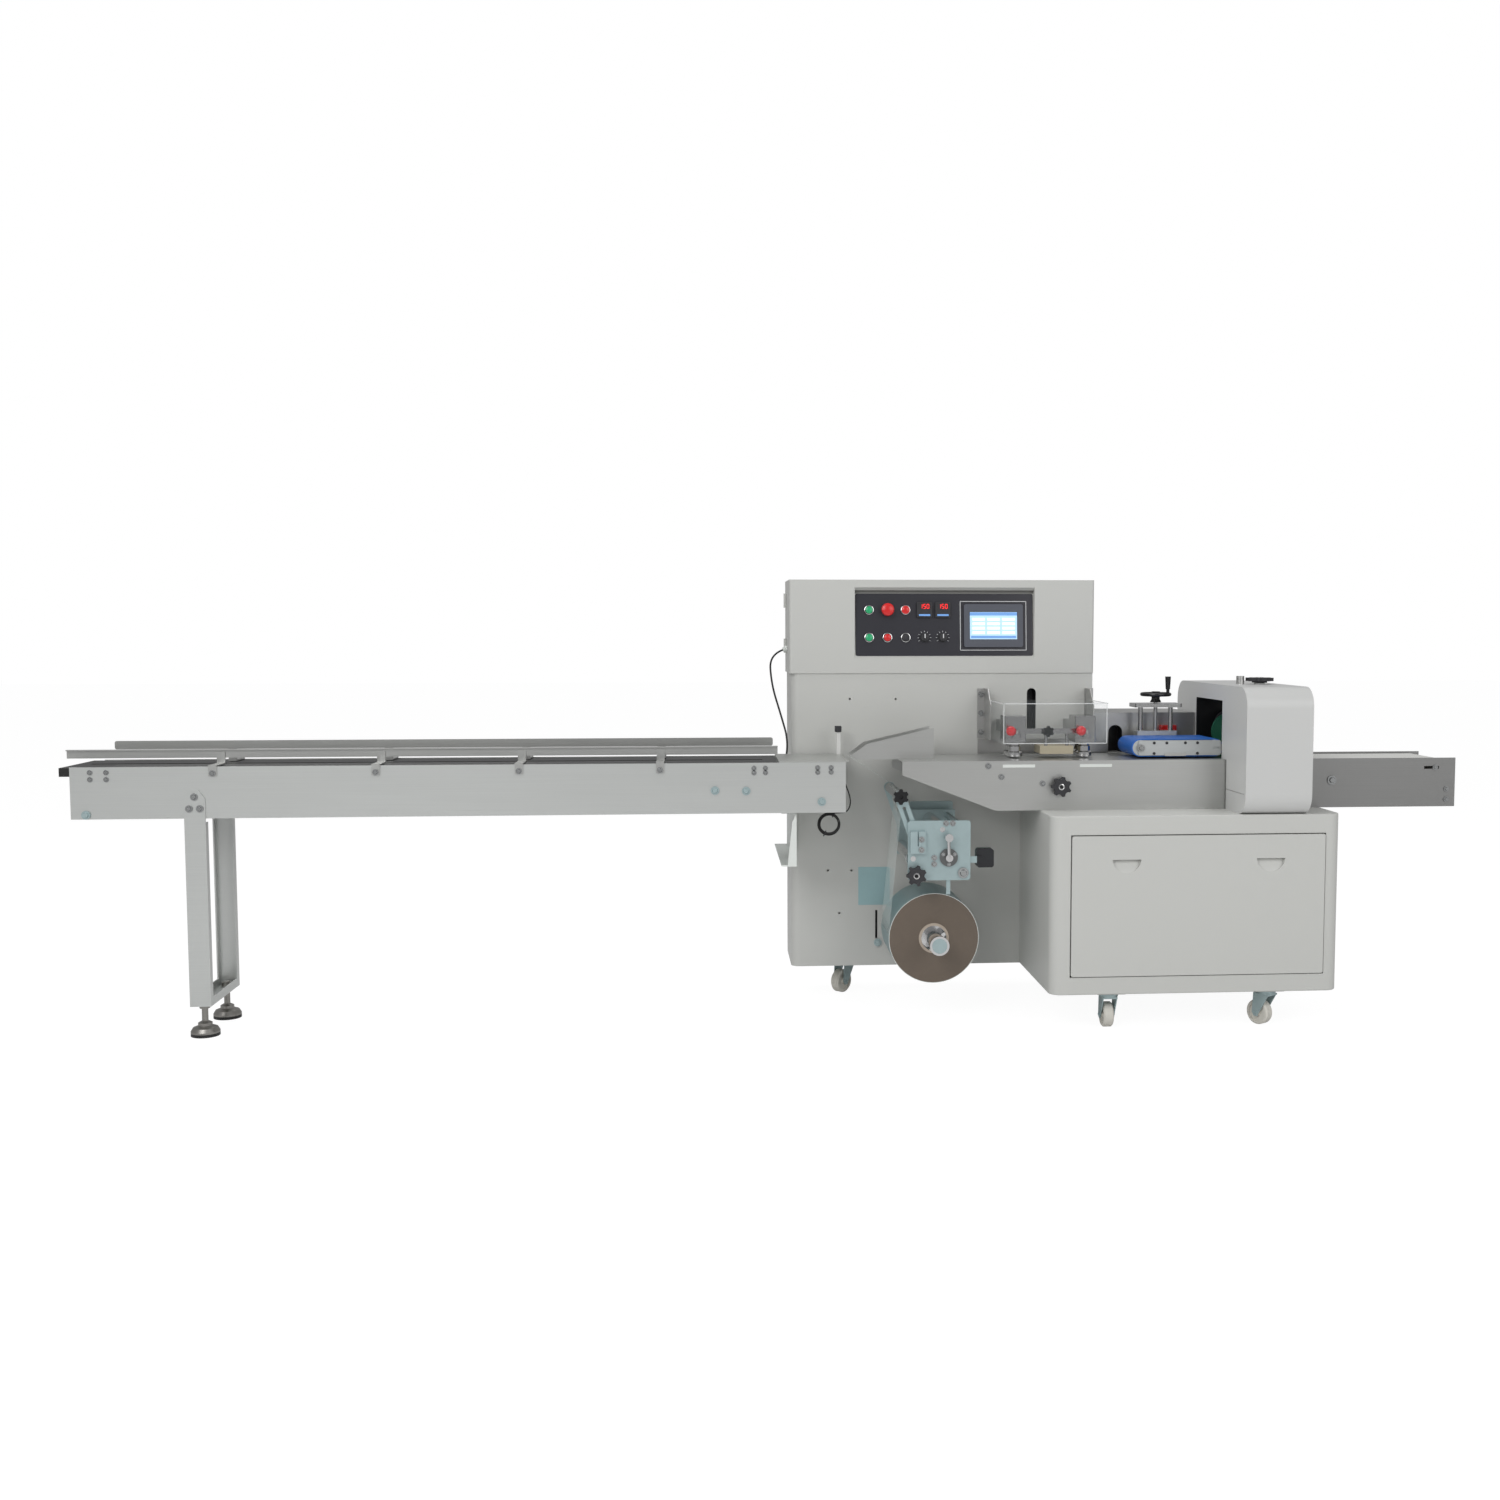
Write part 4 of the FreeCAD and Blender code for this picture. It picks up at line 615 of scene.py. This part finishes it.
def build_screws() -> None:
    """Set all screws and bolts from the faces that carry them."""
    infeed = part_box("infeed_side_plates")[0].y
    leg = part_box("leg_frame")[0].y
    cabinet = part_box("cabinet_body")[0].y
    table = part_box("table")[0].y
    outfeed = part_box("outfeed_frame")[0].y
    plate = -0.224
    flange = cabinet - 0.004
    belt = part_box("press_carriage")[0].y + 0.003
    small = [(x, infeed - 0.0015, z) for x in (-1.980, -1.935) for z in (0.758, 0.778)]
    small += [(x, infeed - 0.0015, z) for x in (-0.082, -0.048, 0.107, 0.147) for z in (0.777, 0.764)]
    ScrewSet("infeed_screws", small, 0.0055).build()
    large = [(-0.197, infeed - 0.003, 0.712), (-0.105, infeed - 0.003, 0.710), (0.119, infeed - 0.003, 0.676),
             (-1.994, infeed - 0.003, 0.656)]
    ScrewSet("infeed_bolts", large, 0.009, 0.006, finish=ZINC).build()
    straps = [(x + 0.012, infeed - 0.0055, 0.774) for x in (-1.65, -1.19, -0.78, -0.37)]
    ScrewSet("rail_strap_screws", straps, 0.0065, 0.004).build()
    ScrewSet("leg_bolts", [(-1.691 + x, leg - 0.002, z) for x, z in ((0, 0.706), (-0.015, 0.672), (0.015, 0.672))],
             0.0075, 0.005).build()
    ScrewSet("guard_bracket_bolts", [(x, flange - 0.002, z) for x in (0.650, 0.996) for z in (0.86, 0.92, 0.98)],
             0.0065, 0.004).build()
    ScrewSet("table_bolts", [(0.660, table - 0.002, 0.745), (0.620, table - 0.002, 0.778), (0.786, table - 0.002, 0.724)],
             0.0065, 0.004).build()
    ScrewSet("cabinet_bolt", [(0.321, cabinet - 0.003, 0.187)], 0.009, 0.006, finish=ZINC).build()
    film = [(x, plate - 0.002, z) for x, z in ((0.488, 0.611), (0.508, 0.611), (0.453, 0.508), (0.453, 0.489))]
    film += [(0.413, plate - 0.016, 0.565), (0.413, plate - 0.016, 0.534)]
    ScrewSet("film_plate_screws", film, 0.0062, 0.004).build()
    ScrewSet("film_plate_bolt", [(0.540, plate - 0.004, 0.462)], 0.0115, 0.008).build()
    ScrewSet("cap_screws", [(0.496 + 0.02 * math.cos(a), plate - 0.009, 0.509 + 0.02 * math.sin(a))
                            for a in (math.pi / 6, 5 * math.pi / 6, 3 * math.pi / 2)], 0.004, 0.003).build()
    rows = [(x, belt - 0.001, 0.841) for x in (1.139, 1.178, 1.236, 1.274)]
    rows += [(x, belt - 0.001, 0.809) for x in (1.139, 1.274)]
    ScrewSet("press_screws", rows, 0.0032, 0.0015, body="press", finish=BLACK_PLASTIC).build()
    ScrewSet("press_axle_bolt", [(1.098, belt - 0.004, 0.826)], 0.008, 0.005, body="press").build()
    ScrewSet("outfeed_screws", [(2.0475, outfeed - 0.002, 0.665), (2.0475, outfeed - 0.002, 0.697),
                                (2.010, outfeed - 0.002, 0.7635)], 0.006, 0.004).build()
    ScrewSet("outfeed_bolt", [(1.684, outfeed - 0.003, 0.727)], 0.010, 0.006).build()


# ---- control panel -------------------------------------------------------------------------------------------
class Cap(Enum):
    """Colour of a push button's cap."""

    GREEN = "green"
    RED = "red"
    BLACK = "black"


CAP_FINISH = {Cap.GREEN: GREEN_CAP, Cap.RED: RED_CAP, Cap.BLACK: BLACK_PLASTIC}


@dataclass
class ControlPanel:
    """Caps, rings, digits and screen picture that stand on the sloping panel."""

    upper_row: float = 1.247
    lower_row: float = 1.160
    caps: list[tuple[str, float, bool, Cap, float]] = field(default_factory=lambda: [
        ("start_cap", 0.292, True, Cap.GREEN, 0.0112), ("power_cap", 0.408, True, Cap.RED, 0.0128),
        ("jog_cap", 0.292, False, Cap.GREEN, 0.0112), ("stop_cap", 0.350, False, Cap.RED, 0.0112),
        ("select_cap", 0.408, False, Cap.BLACK, 0.0112)])

    def __post_init__(self) -> None:
        """Read the panel's own corners, and set its slope as a given angle."""
        low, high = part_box("control_panel")
        self.low, self.high = low, high
        self.slope = math.atan2(0.018, 0.207)

    def spot(self, x: float, z: float, lift: float = 0.0) -> Matrix:
        """Place on the panel's face.

        Args:
            x: across.
            z: height.
            lift: distance in front of the face.

        Returns:
            A placing whose +Z leaves the panel.
        """
        share = (z - self.low.z) / (self.high.z - self.low.z)
        y = self.low.y + (self.high.y - self.low.y - 0.002) * share
        out = Vector((0, -math.cos(self.slope), math.sin(self.slope)))
        turn = Matrix.Rotation(math.pi / 2 - self.slope, 4, "X")
        return Matrix.Translation(Vector((x, y, z)) + out * lift) @ turn

    def build_caps(self) -> None:
        """Push-button caps with their bright rings, and the mushroom button."""
        ring_mesh = bmesh.new()
        for name, x, top, cap, radius in self.caps:
            z = self.upper_row if top else self.lower_row
            bm = bmesh.new()
            lathe(bm, [(0, 0.0104), (radius - 0.0015, 0.0100), (radius + 0.0003, 0.0088), (radius + 0.0003, 0.0042),
                       (0, 0.0042)], self.spot(x, z))
            finished(name, bm, CAP_FINISH[cap])
            lathe(ring_mesh, [(0.0128, 0.0035), (0.0150, 0.0035), (0.0147, 0.0052), (0.0130, 0.0056)], self.spot(x, z))
        finished("button_rings", ring_mesh, POLISHED)
        bm = bmesh.new()
        lathe(bm, [(0, 0.0282), (0.012, 0.0276), (0.0185, 0.0245), (0.0206, 0.0205), (0.0185, 0.0138), (0, 0.0138)],
              self.spot(0.350, self.upper_row), 48)
        finished("emergency_stop_head", bm, RED_CAP)

    def build_knobs(self) -> None:
        """White pointers on the rotary knobs and the arc of marks round each."""
        marks = bmesh.new()
        for x in (0.468, 0.5265):
            slab(marks, (0.0030, 0.013, 0.0006), self.spot(x, self.lower_row + 0.004, 0.0173))
            for i in range(9):
                angle = math.radians(-30 + 30 * i)
                place = self.spot(x, self.lower_row, 0.0001) @ Matrix.Rotation(angle, 4, "Z")
                slab(marks, (0.0045, 0.0011, 0.0004), place @ Matrix.Translation((0.0195, 0, 0)))
        finished("knob_marks", marks, PRINT_GREY)

    def build_digits(self) -> None:
        """Three lit digits on each temperature controller, as seven-bar figures."""
        bars = {"8": "abcdefg", "1": "bc", "0": "abcdef", "5": "acdfg"}
        spots = {"a": (0, 1, True), "g": (0, 0, True), "d": (0, -1, True), "b": (1, 0.5, False), "c": (1, -0.5, False),
                 "f": (-1, 0.5, False), "e": (-1, -0.5, False)}
        bm, bars_low = bmesh.new(), bmesh.new()
        for x in (0.468, 0.5265):
            for place, figure in enumerate("150"):
                for bar in bars[figure]:
                    across, up, flat = spots[bar]
                    size = (0.0060, 0.0018, 0.0004) if flat else (0.0018, 0.0060, 0.0004)
                    at = self.spot(x + (place - 1) * 0.0108 + across * 0.0033, self.upper_row + 0.0110 + up * 0.0066,
                                   0.0084)
                    slab(bm, size, at)
            slab(bars_low, (0.036, 0.0055, 0.0004), self.spot(x, self.upper_row - 0.0165, 0.0091))
        finished("controller_digits", bm, DIGIT_RED)
        finished("controller_keys", bars_low, SCREEN_BAR)

    def build_screen(self) -> None:
        """Screen picture as plain coloured fields, and the printed line round the bezel."""
        centre = (0.6885, 1.1975)
        for name, finish, fields in (
            ("screen_picture", SCREEN_LIT, [(0, 0, 0.151, 0.086, 0.0056)]),
            ("screen_bars", SCREEN_BAR, [(0, 0.037, 0.151, 0.010, 0.0058), (0, -0.036, 0.145, 0.008, 0.0058)]),
            ("screen_cells", SCREEN_CELL, [(-0.048 + 0.048 * i, 0.020 - 0.014 * j, 0.040, 0.009, 0.0058)
                                           for i in range(3) for j in range(4)])):
            bm = bmesh.new()
            for across, up, wide, tall, lift in fields:
                slab(bm, (wide, tall, 0.0003), self.spot(centre[0] + across, centre[1] + up, lift))
            finished(name, bm, finish)
        line = bmesh.new()
        wide, tall, thick = 0.211, 0.154, 0.0018
        for across, up, w, t in ((0, tall / 2, wide, thick), (0, -tall / 2, wide, thick),
                                 (-wide / 2, 0, thick, tall), (wide / 2, 0, thick, tall)):
            slab(line, (w, t, 0.0003), self.spot(centre[0] + across, centre[1] + up, 0.0001))
        finished("screen_outline", line, PRINT_GREY)

    def build(self) -> None:
        """Build everything on the panel."""
        self.build_caps()
        self.build_knobs()
        self.build_digits()
        self.build_screen()


# ---- film unit -----------------------------------------------------------------------------------------------
@dataclass
class FilmUnit:
    """Film web, roll core and the bright inserts of the knobs."""

    top_roller: Point = (0.351, -0.056, 0.692)
    roller_radius: float = 0.0154
    tip: tuple[float, float] = (0.2155, 0.8005)
    steps_across: int = 14

    def route(self) -> list[tuple[float, float]]:
        """Side view of the web, from the roll over the top roller to the forming box's tip.

        Returns:
            X and Z pairs along the film.
        """
        low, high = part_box("film_web")
        start = (0.3247, 0.2665)
        contact = (self.top_roller[0] + self.roller_radius, self.top_roller[2])
        climb = [(start[0] + (contact[0] - start[0]) * i / 12, start[1] + (contact[1] - start[1]) * i / 12)
                 for i in range(13)]
        bend = [(self.top_roller[0] + self.roller_radius * math.cos(a), self.top_roller[2] + self.roller_radius * math.sin(a))
                for a in (math.radians(d) for d in (15, 30, 45, 55))]
        last = bend[-1]
        leave = [(last[0] + (self.tip[0] - last[0]) * i / 8, last[1] + (self.tip[1] - last[1]) * i / 8)
                 for i in range(1, 9)]
        return climb + bend + leave

    def build_web(self) -> None:
        """Film as one thin open sheet across the roll's width."""
        low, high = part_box("film_web")
        route = self.route()
        bm = bmesh.new()
        rows = [[bm.verts.new((x, low.y + (high.y - low.y) * j / self.steps_across, z))
                 for j in range(self.steps_across + 1)] for x, z in route]
        for a, b in zip(rows, rows[1:]):
            for j in range(self.steps_across):
                bm.faces.new((a[j], a[j + 1], b[j + 1], b[j]))
        web = finished("film_sheet", bm, FILM)
        thickness = web.modifiers.new("thickness", "SOLIDIFY")
        thickness.thickness = 0.0004
        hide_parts("film_web")

    def build_core(self) -> None:
        """Card core in the roll and the clear wraps that stand proud round its rim."""
        low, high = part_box("film_roll")
        centre = (low + high) / 2
        place = Matrix.Translation((centre.x, low.y, centre.z)) @ turn_to((0, -1, 0))
        bm = bmesh.new()
        lathe(bm, [(0.0382, -0.020), (0.0460, -0.020), (0.0460, 0.0012), (0.0382, 0.0012)], place, 64)
        finished("roll_core", bm, CORE_CARD, "reel")
        bm = bmesh.new()
        rim = high.x - centre.x
        lathe(bm, [(rim - 0.0012, -0.0005), (rim + 0.0003, -0.0005), (rim + 0.0003, 0.0006), (rim - 0.0012, 0.0006)],
              place, 96)
        finished("roll_rim", bm, WHITE_PAINT, "reel")
        bm = bmesh.new()
        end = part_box("reel_shaft")[0].y
        lathe(bm, [(0, 0.0008), (0.022, 0.0008), (0.0225, 0.0), (0, 0.0)],
              Matrix.Translation((centre.x, end, centre.z)) @ turn_to((0, -1, 0)), 48)
        finished("reel_end_plate", bm, ZINC, "reel")

    def build_inserts(self) -> None:
        """Metal ring and dark centre in the face of each lobed knob."""
        for knob, body in (("table_knob", "table_knob"), ("bracket_knob", "bracket_knob")):
            low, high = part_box(knob)
            centre = (low + high) / 2
            place = Matrix.Translation((centre.x, low.y + 0.0055, centre.z)) @ turn_to((0, -1, 0))
            bm = bmesh.new()
            lathe(bm, [(0.0055, 0.0), (0.0094, 0.0), (0.0094, 0.0048), (0.0070, 0.0052), (0.0055, 0.0040)], place, 40)
            finished(knob + "_ring", bm, POLISHED, body)

    def build(self) -> None:
        """Build the film unit's pieces."""
        self.build_web()
        self.build_core()
        self.build_inserts()


# ---- cords ---------------------------------------------------------------------------------------------------
@dataclass
class Cables:
    """The sensor cable beside the cabinet and the thin lead with its coil under the infeed."""

    cable_radius: float = 0.003
    lead_radius: float = 0.002
    coil_centre: Point = (0.146, -0.132, 0.601)
    coil_radius: float = 0.0315
    coil_turns: int = 4

    def spline(self, name: str, points: list[Point], radius: float) -> bpy.types.Object:
        """Round cord on a smooth line.

        Args:
            name: the piece's name.
            points: control points, first to last.
            radius: half the cord's thickness.

        Returns:
            The curve object.
        """
        curve = bpy.data.curves.new(name, "CURVE")
        curve.dimensions = "3D"
        curve.bevel_depth = radius
        curve.bevel_resolution = 4
        curve.use_fill_caps = True
        line = curve.splines.new("NURBS")
        line.points.add(len(points) - 1)
        for target, point in zip(line.points, points):
            target.co = (*point, 1.0)
        line.order_u = 3
        line.use_endpoint_u = True
        line.resolution_u = 10
        cord = bpy.data.objects.new(name, curve)
        bpy.context.scene.collection.objects.link(cord)
        curve.materials.append(RUBBER.material())
        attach(cord, "machine")
        return cord

    def build_cabinet_cable(self) -> None:
        """Cable from the control box's side, round and down behind the infeed, with its two glands."""
        points = [(0.040, 0.268, 1.124), (-0.017, 0.262, 1.110), (-0.013, 0.215, 1.012), (0.014, 0.160, 0.918),
                  (0.037, 0.110, 0.832), (0.020, 0.099, 0.745), (0.017, 0.100, 0.643)]
        cable = self.spline("cabinet_cable_line", points, self.cable_radius)
        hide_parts("cabinet_cable")
        bm = bmesh.new()
        profile = [(0.0032, 0.0), (0.0095, 0.0), (0.0095, 0.006), (0.0075, 0.007), (0.0070, 0.013), (0.0032, 0.015)]
        lathe(bm, profile, Matrix.Translation((0.040, 0.268, 1.124)) @ turn_to((-1, 0, -0.2)), 24)
        lathe(bm, profile, Matrix.Translation((0.017, 0.100, 0.643)), 24)
        glands = finished("cable_glands", bm, WHITE_PAINT)

    def build_sensor_lead(self) -> None:
        """Thin lead that drops behind the side plate's end into a tied coil."""
        cx, cy, cz = self.coil_centre
        points = [(0.180, -0.130, 0.793), (0.189, -0.128, 0.736), (0.214, -0.126, 0.676), (0.205, -0.130, 0.638),
                  (0.176, -0.132, 0.634)]
        per_turn = 14
        for i in range(per_turn * self.coil_turns + 3):
            angle = math.radians(100) + 2 * math.pi * i / per_turn
            lap = i / per_turn
            out = 0.0034 * math.cos(2.4 * lap + 0.8)
            aside = 0.0036 * math.sin(2.4 * lap + 0.8)
            reach = self.coil_radius + out
            points.append((cx + reach * math.cos(angle), cy + aside, cz + reach * math.sin(angle)))
        lead = self.spline("sensor_lead_line", points, self.lead_radius)
        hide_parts("sensor_lead", "sensor_coil")
        ties = bmesh.new()
        for angle in (math.radians(65), math.radians(245)):
            spot = Vector((cx + self.coil_radius * math.cos(angle), cy, cz + self.coil_radius * math.sin(angle)))
            along = Vector((-math.sin(angle), 0, math.cos(angle)))
            lathe(ties, [(0.0088, -0.0012), (0.0094, -0.0012), (0.0094, 0.0012), (0.0088, 0.0012)],
                  Matrix.Translation(spot) @ turn_to(along), 20)
        tie = finished("coil_ties", ties, BLACK_PLASTIC)

    def build(self) -> None:
        """Build both cords."""
        self.build_cabinet_cable()
        self.build_sensor_lead()


# ---- small trim ----------------------------------------------------------------------------------------------
@dataclass
class Trim:
    """Bare plates, hubs and marks that the CAD leaves plain."""

    strip_height: float = 0.009

    def build_plates(self) -> None:
        """Bare strips under the table's edge and the plain plate on the cabinet."""
        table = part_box("table")[0].y
        bm = bmesh.new()
        for x0, x1 in ((0.664, 0.762), (0.899, 0.997)):
            slab(bm, (x1 - x0, self.strip_height, 0.0006),
                 Matrix.Translation(((x0 + x1) / 2, table, 0.7775)) @ turn_to((0, -1, 0)))
        finished("table_strips", bm, WHITE_PAINT)
        bm = bmesh.new()
        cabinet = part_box("cabinet_body")[0].y
        slab(bm, (0.101, 0.122, 0.0004), Matrix.Translation((0.309, cabinet, 0.3695)) @ turn_to((0, -1, 0)))
        finished("bare_plate", bm, NAME_PLATE)

    def build_hubs(self) -> None:
        """Bright hub in the cover's hand knob, and a black head on the sensor post."""
        low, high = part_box("cover_knob")
        centre = (low + high) / 2
        bm = bmesh.new()
        lathe(bm, [(0, 0.0016), (0.009, 0.0016), (0.0112, 0.0), (0, 0.0)],
              Matrix.Translation((centre.x, centre.y, high.z)), 40)
        lathe(bm, [(0.0105, -0.006), (0.0118, -0.006), (0.0118, 0.0012), (0.0105, 0.0012)],
              Matrix.Translation((centre.x, centre.y, high.z)), 40)
        finished("cover_knob_hub", bm, POLISHED, "cover_knob")
        bm = bmesh.new()
        slab(bm, (0.020, 0.024, 0.018), Matrix.Translation((0.189, 0.061, 0.867)))
        finished("sensor_head", bm, BLACK_PLASTIC, bevel=0.0015)

    def build_guard_edges(self) -> None:
        """Bright sawn edges of the clear guard."""
        low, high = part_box("seal_guard")
        thin = 0.0022
        bm = bmesh.new()
        middle, deep = (low.x + high.x) / 2, (low.y + high.y) / 2
        for z in (low.z, high.z - thin):
            slab(bm, (high.x - low.x - 0.006, thin, thin), Matrix.Translation((middle, low.y + 0.0012, z)))
        for x in (low.x + 0.0042, high.x - 0.0042):
            slab(bm, (thin, thin, high.z - low.z), Matrix.Translation((x, low.y + 0.0012, low.z)))
        for x in (low.x + 0.0011, high.x - 0.0011):
            slab(bm, (thin, high.y - low.y - 0.010, thin), Matrix.Translation((x, deep, high.z - thin)))
        finished("guard_edges", bm, ACRYLIC_EDGE)

    def build_press_trim(self) -> None:
        """Latch under the press unit's front plate and the red block behind its posts."""
        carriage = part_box("press_carriage")[0].y + 0.003
        bm = bmesh.new()
        slab(bm, (0.066, 0.003, 0.010), Matrix.Translation((1.205, carriage - 0.0015, 0.801)))
        finished("press_latch", bm, STAINLESS, "press", 0.0006)
        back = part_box("cabinet_body")[0].y
        bm = bmesh.new()
        slab(bm, (0.052, 0.024, 0.034), Matrix.Translation((1.2545, back - 0.012, 0.846)))
        finished("red_block", bm, RED_CAP, bevel=0.0015)

    def build(self) -> None:
        """Build all trim."""
        self.build_plates()
        self.build_hubs()
        self.build_guard_edges()
        self.build_press_trim()


# ---- studio --------------------------------------------------------------------------------------------------
@dataclass
class Studio:
    """Pale floor, soft lamps, white surround and the camera."""

    eye: Point = (-0.2203, -4.8894, 1.192)
    yaw: float = math.radians(4.65)
    pitch: float = math.radians(4.40)
    lens: float = 38.2
    shift: float = -0.0573
    surround: float = 0.36

    def build_world(self) -> None:
        """White where the camera looks, softer where it lights."""
        world = bpy.data.worlds.new("surround")
        bpy.context.scene.world = world
        world.use_nodes = True
        tree = world.node_tree
        back = tree.nodes["Background"]
        path = tree.nodes.new("ShaderNodeLightPath")
        seen = tree.nodes.new("ShaderNodeMath")
        seen.operation = "MAXIMUM"
        mix = tree.nodes.new("ShaderNodeMix")
        mix.data_type = "RGBA"
        mix.inputs["A"].default_value = (self.surround, self.surround, self.surround * 1.01, 1.0)
        mix.inputs["B"].default_value = (1.0, 1.0, 1.0, 1.0)
        tree.links.new(path.outputs["Is Camera Ray"], seen.inputs[0])
        tree.links.new(path.outputs["Is Transmission Ray"], seen.inputs[1])
        tree.links.new(seen.outputs["Value"], mix.inputs["Factor"])
        tree.links.new(mix.outputs["Result"], back.inputs["Color"])

    def build_floor(self) -> None:
        """White floor that keeps a faint shadow."""
        bpy.ops.mesh.primitive_plane_add(size=60)
        floor = bpy.context.object
        floor.name = "studio_floor"
        mat = bpy.data.materials.new("floor_white")
        mat.use_nodes = True
        tree = mat.node_tree
        shader = tree.nodes["Principled BSDF"]
        shader.inputs["Base Color"].default_value = (0.86, 0.86, 0.86, 1.0)
        shader.inputs["Roughness"].default_value = 0.8
        glow = tree.nodes.new("ShaderNodeEmission")
        glow.inputs["Strength"].default_value = 1.12
        path = tree.nodes.new("ShaderNodeLightPath")
        share = tree.nodes.new("ShaderNodeMath")
        share.operation = "MULTIPLY"
        share.inputs[1].default_value = 0.84
        mix = tree.nodes.new("ShaderNodeMixShader")
        out = tree.nodes["Material Output"]
        tree.links.new(path.outputs["Is Camera Ray"], share.inputs[0])
        tree.links.new(share.outputs["Value"], mix.inputs["Fac"])
        tree.links.new(shader.outputs["BSDF"], mix.inputs[1])
        tree.links.new(glow.outputs["Emission"], mix.inputs[2])
        tree.links.new(mix.outputs["Shader"], out.inputs["Surface"])
        floor.data.materials.append(mat)

    def lamp(self, name: str, place: Point, aim: Point, power: float, size: float) -> None:
        """Add one soft square lamp aimed at a point."""
        data = bpy.data.lights.new(name, "AREA")
        data.energy = power
        data.size = size
        obj = bpy.data.objects.new(name, data)
        obj.location = place
        obj.rotation_euler = (Vector(aim) - Vector(place)).to_track_quat("-Z", "Y").to_euler()
        bpy.context.scene.collection.objects.link(obj)

    def build_camera(self) -> None:
        """Camera at the operator's side, a little left of the middle."""
        data = bpy.data.cameras.new("camera")
        data.lens = self.lens
        data.sensor_width = 36.0
        data.shift_x = self.shift
        camera = bpy.data.objects.new("camera", data)
        camera.location = self.eye
        aim = Vector((math.sin(self.yaw) * math.cos(self.pitch), math.cos(self.yaw) * math.cos(self.pitch),
                      -math.sin(self.pitch)))
        camera.rotation_euler = aim.to_track_quat("-Z", "Y").to_euler()
        bpy.context.scene.collection.objects.link(camera)
        bpy.context.scene.camera = camera

    def build(self) -> None:
        """Build the surroundings."""
        self.build_world()
        self.build_floor()
        self.lamp("key", (-2.5, -4.5, 3.6), (0.4, 0.0, 0.7), 125, 3.0)
        self.lamp("fill", (3.4, -4.2, 2.6), (0.8, 0.0, 0.7), 60, 3.0)
        self.lamp("top", (0.0, 0.6, 4.6), (0.0, 0.0, 0.8), 75, 4.0)
        self.build_camera()
        bpy.context.scene.view_settings.view_transform = "Standard"


def main() -> None:
    """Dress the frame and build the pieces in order."""
    logging.basicConfig(level=logging.INFO, format="%(message)s")
    dress_frame()
    for assembly in (ControlPanel(), FilmUnit(), Cables(), Trim(), Studio()):
        log.info("building %s", type(assembly).__name__)
        assembly.build()
    build_screws()


if __name__ == "__main__":
    main()
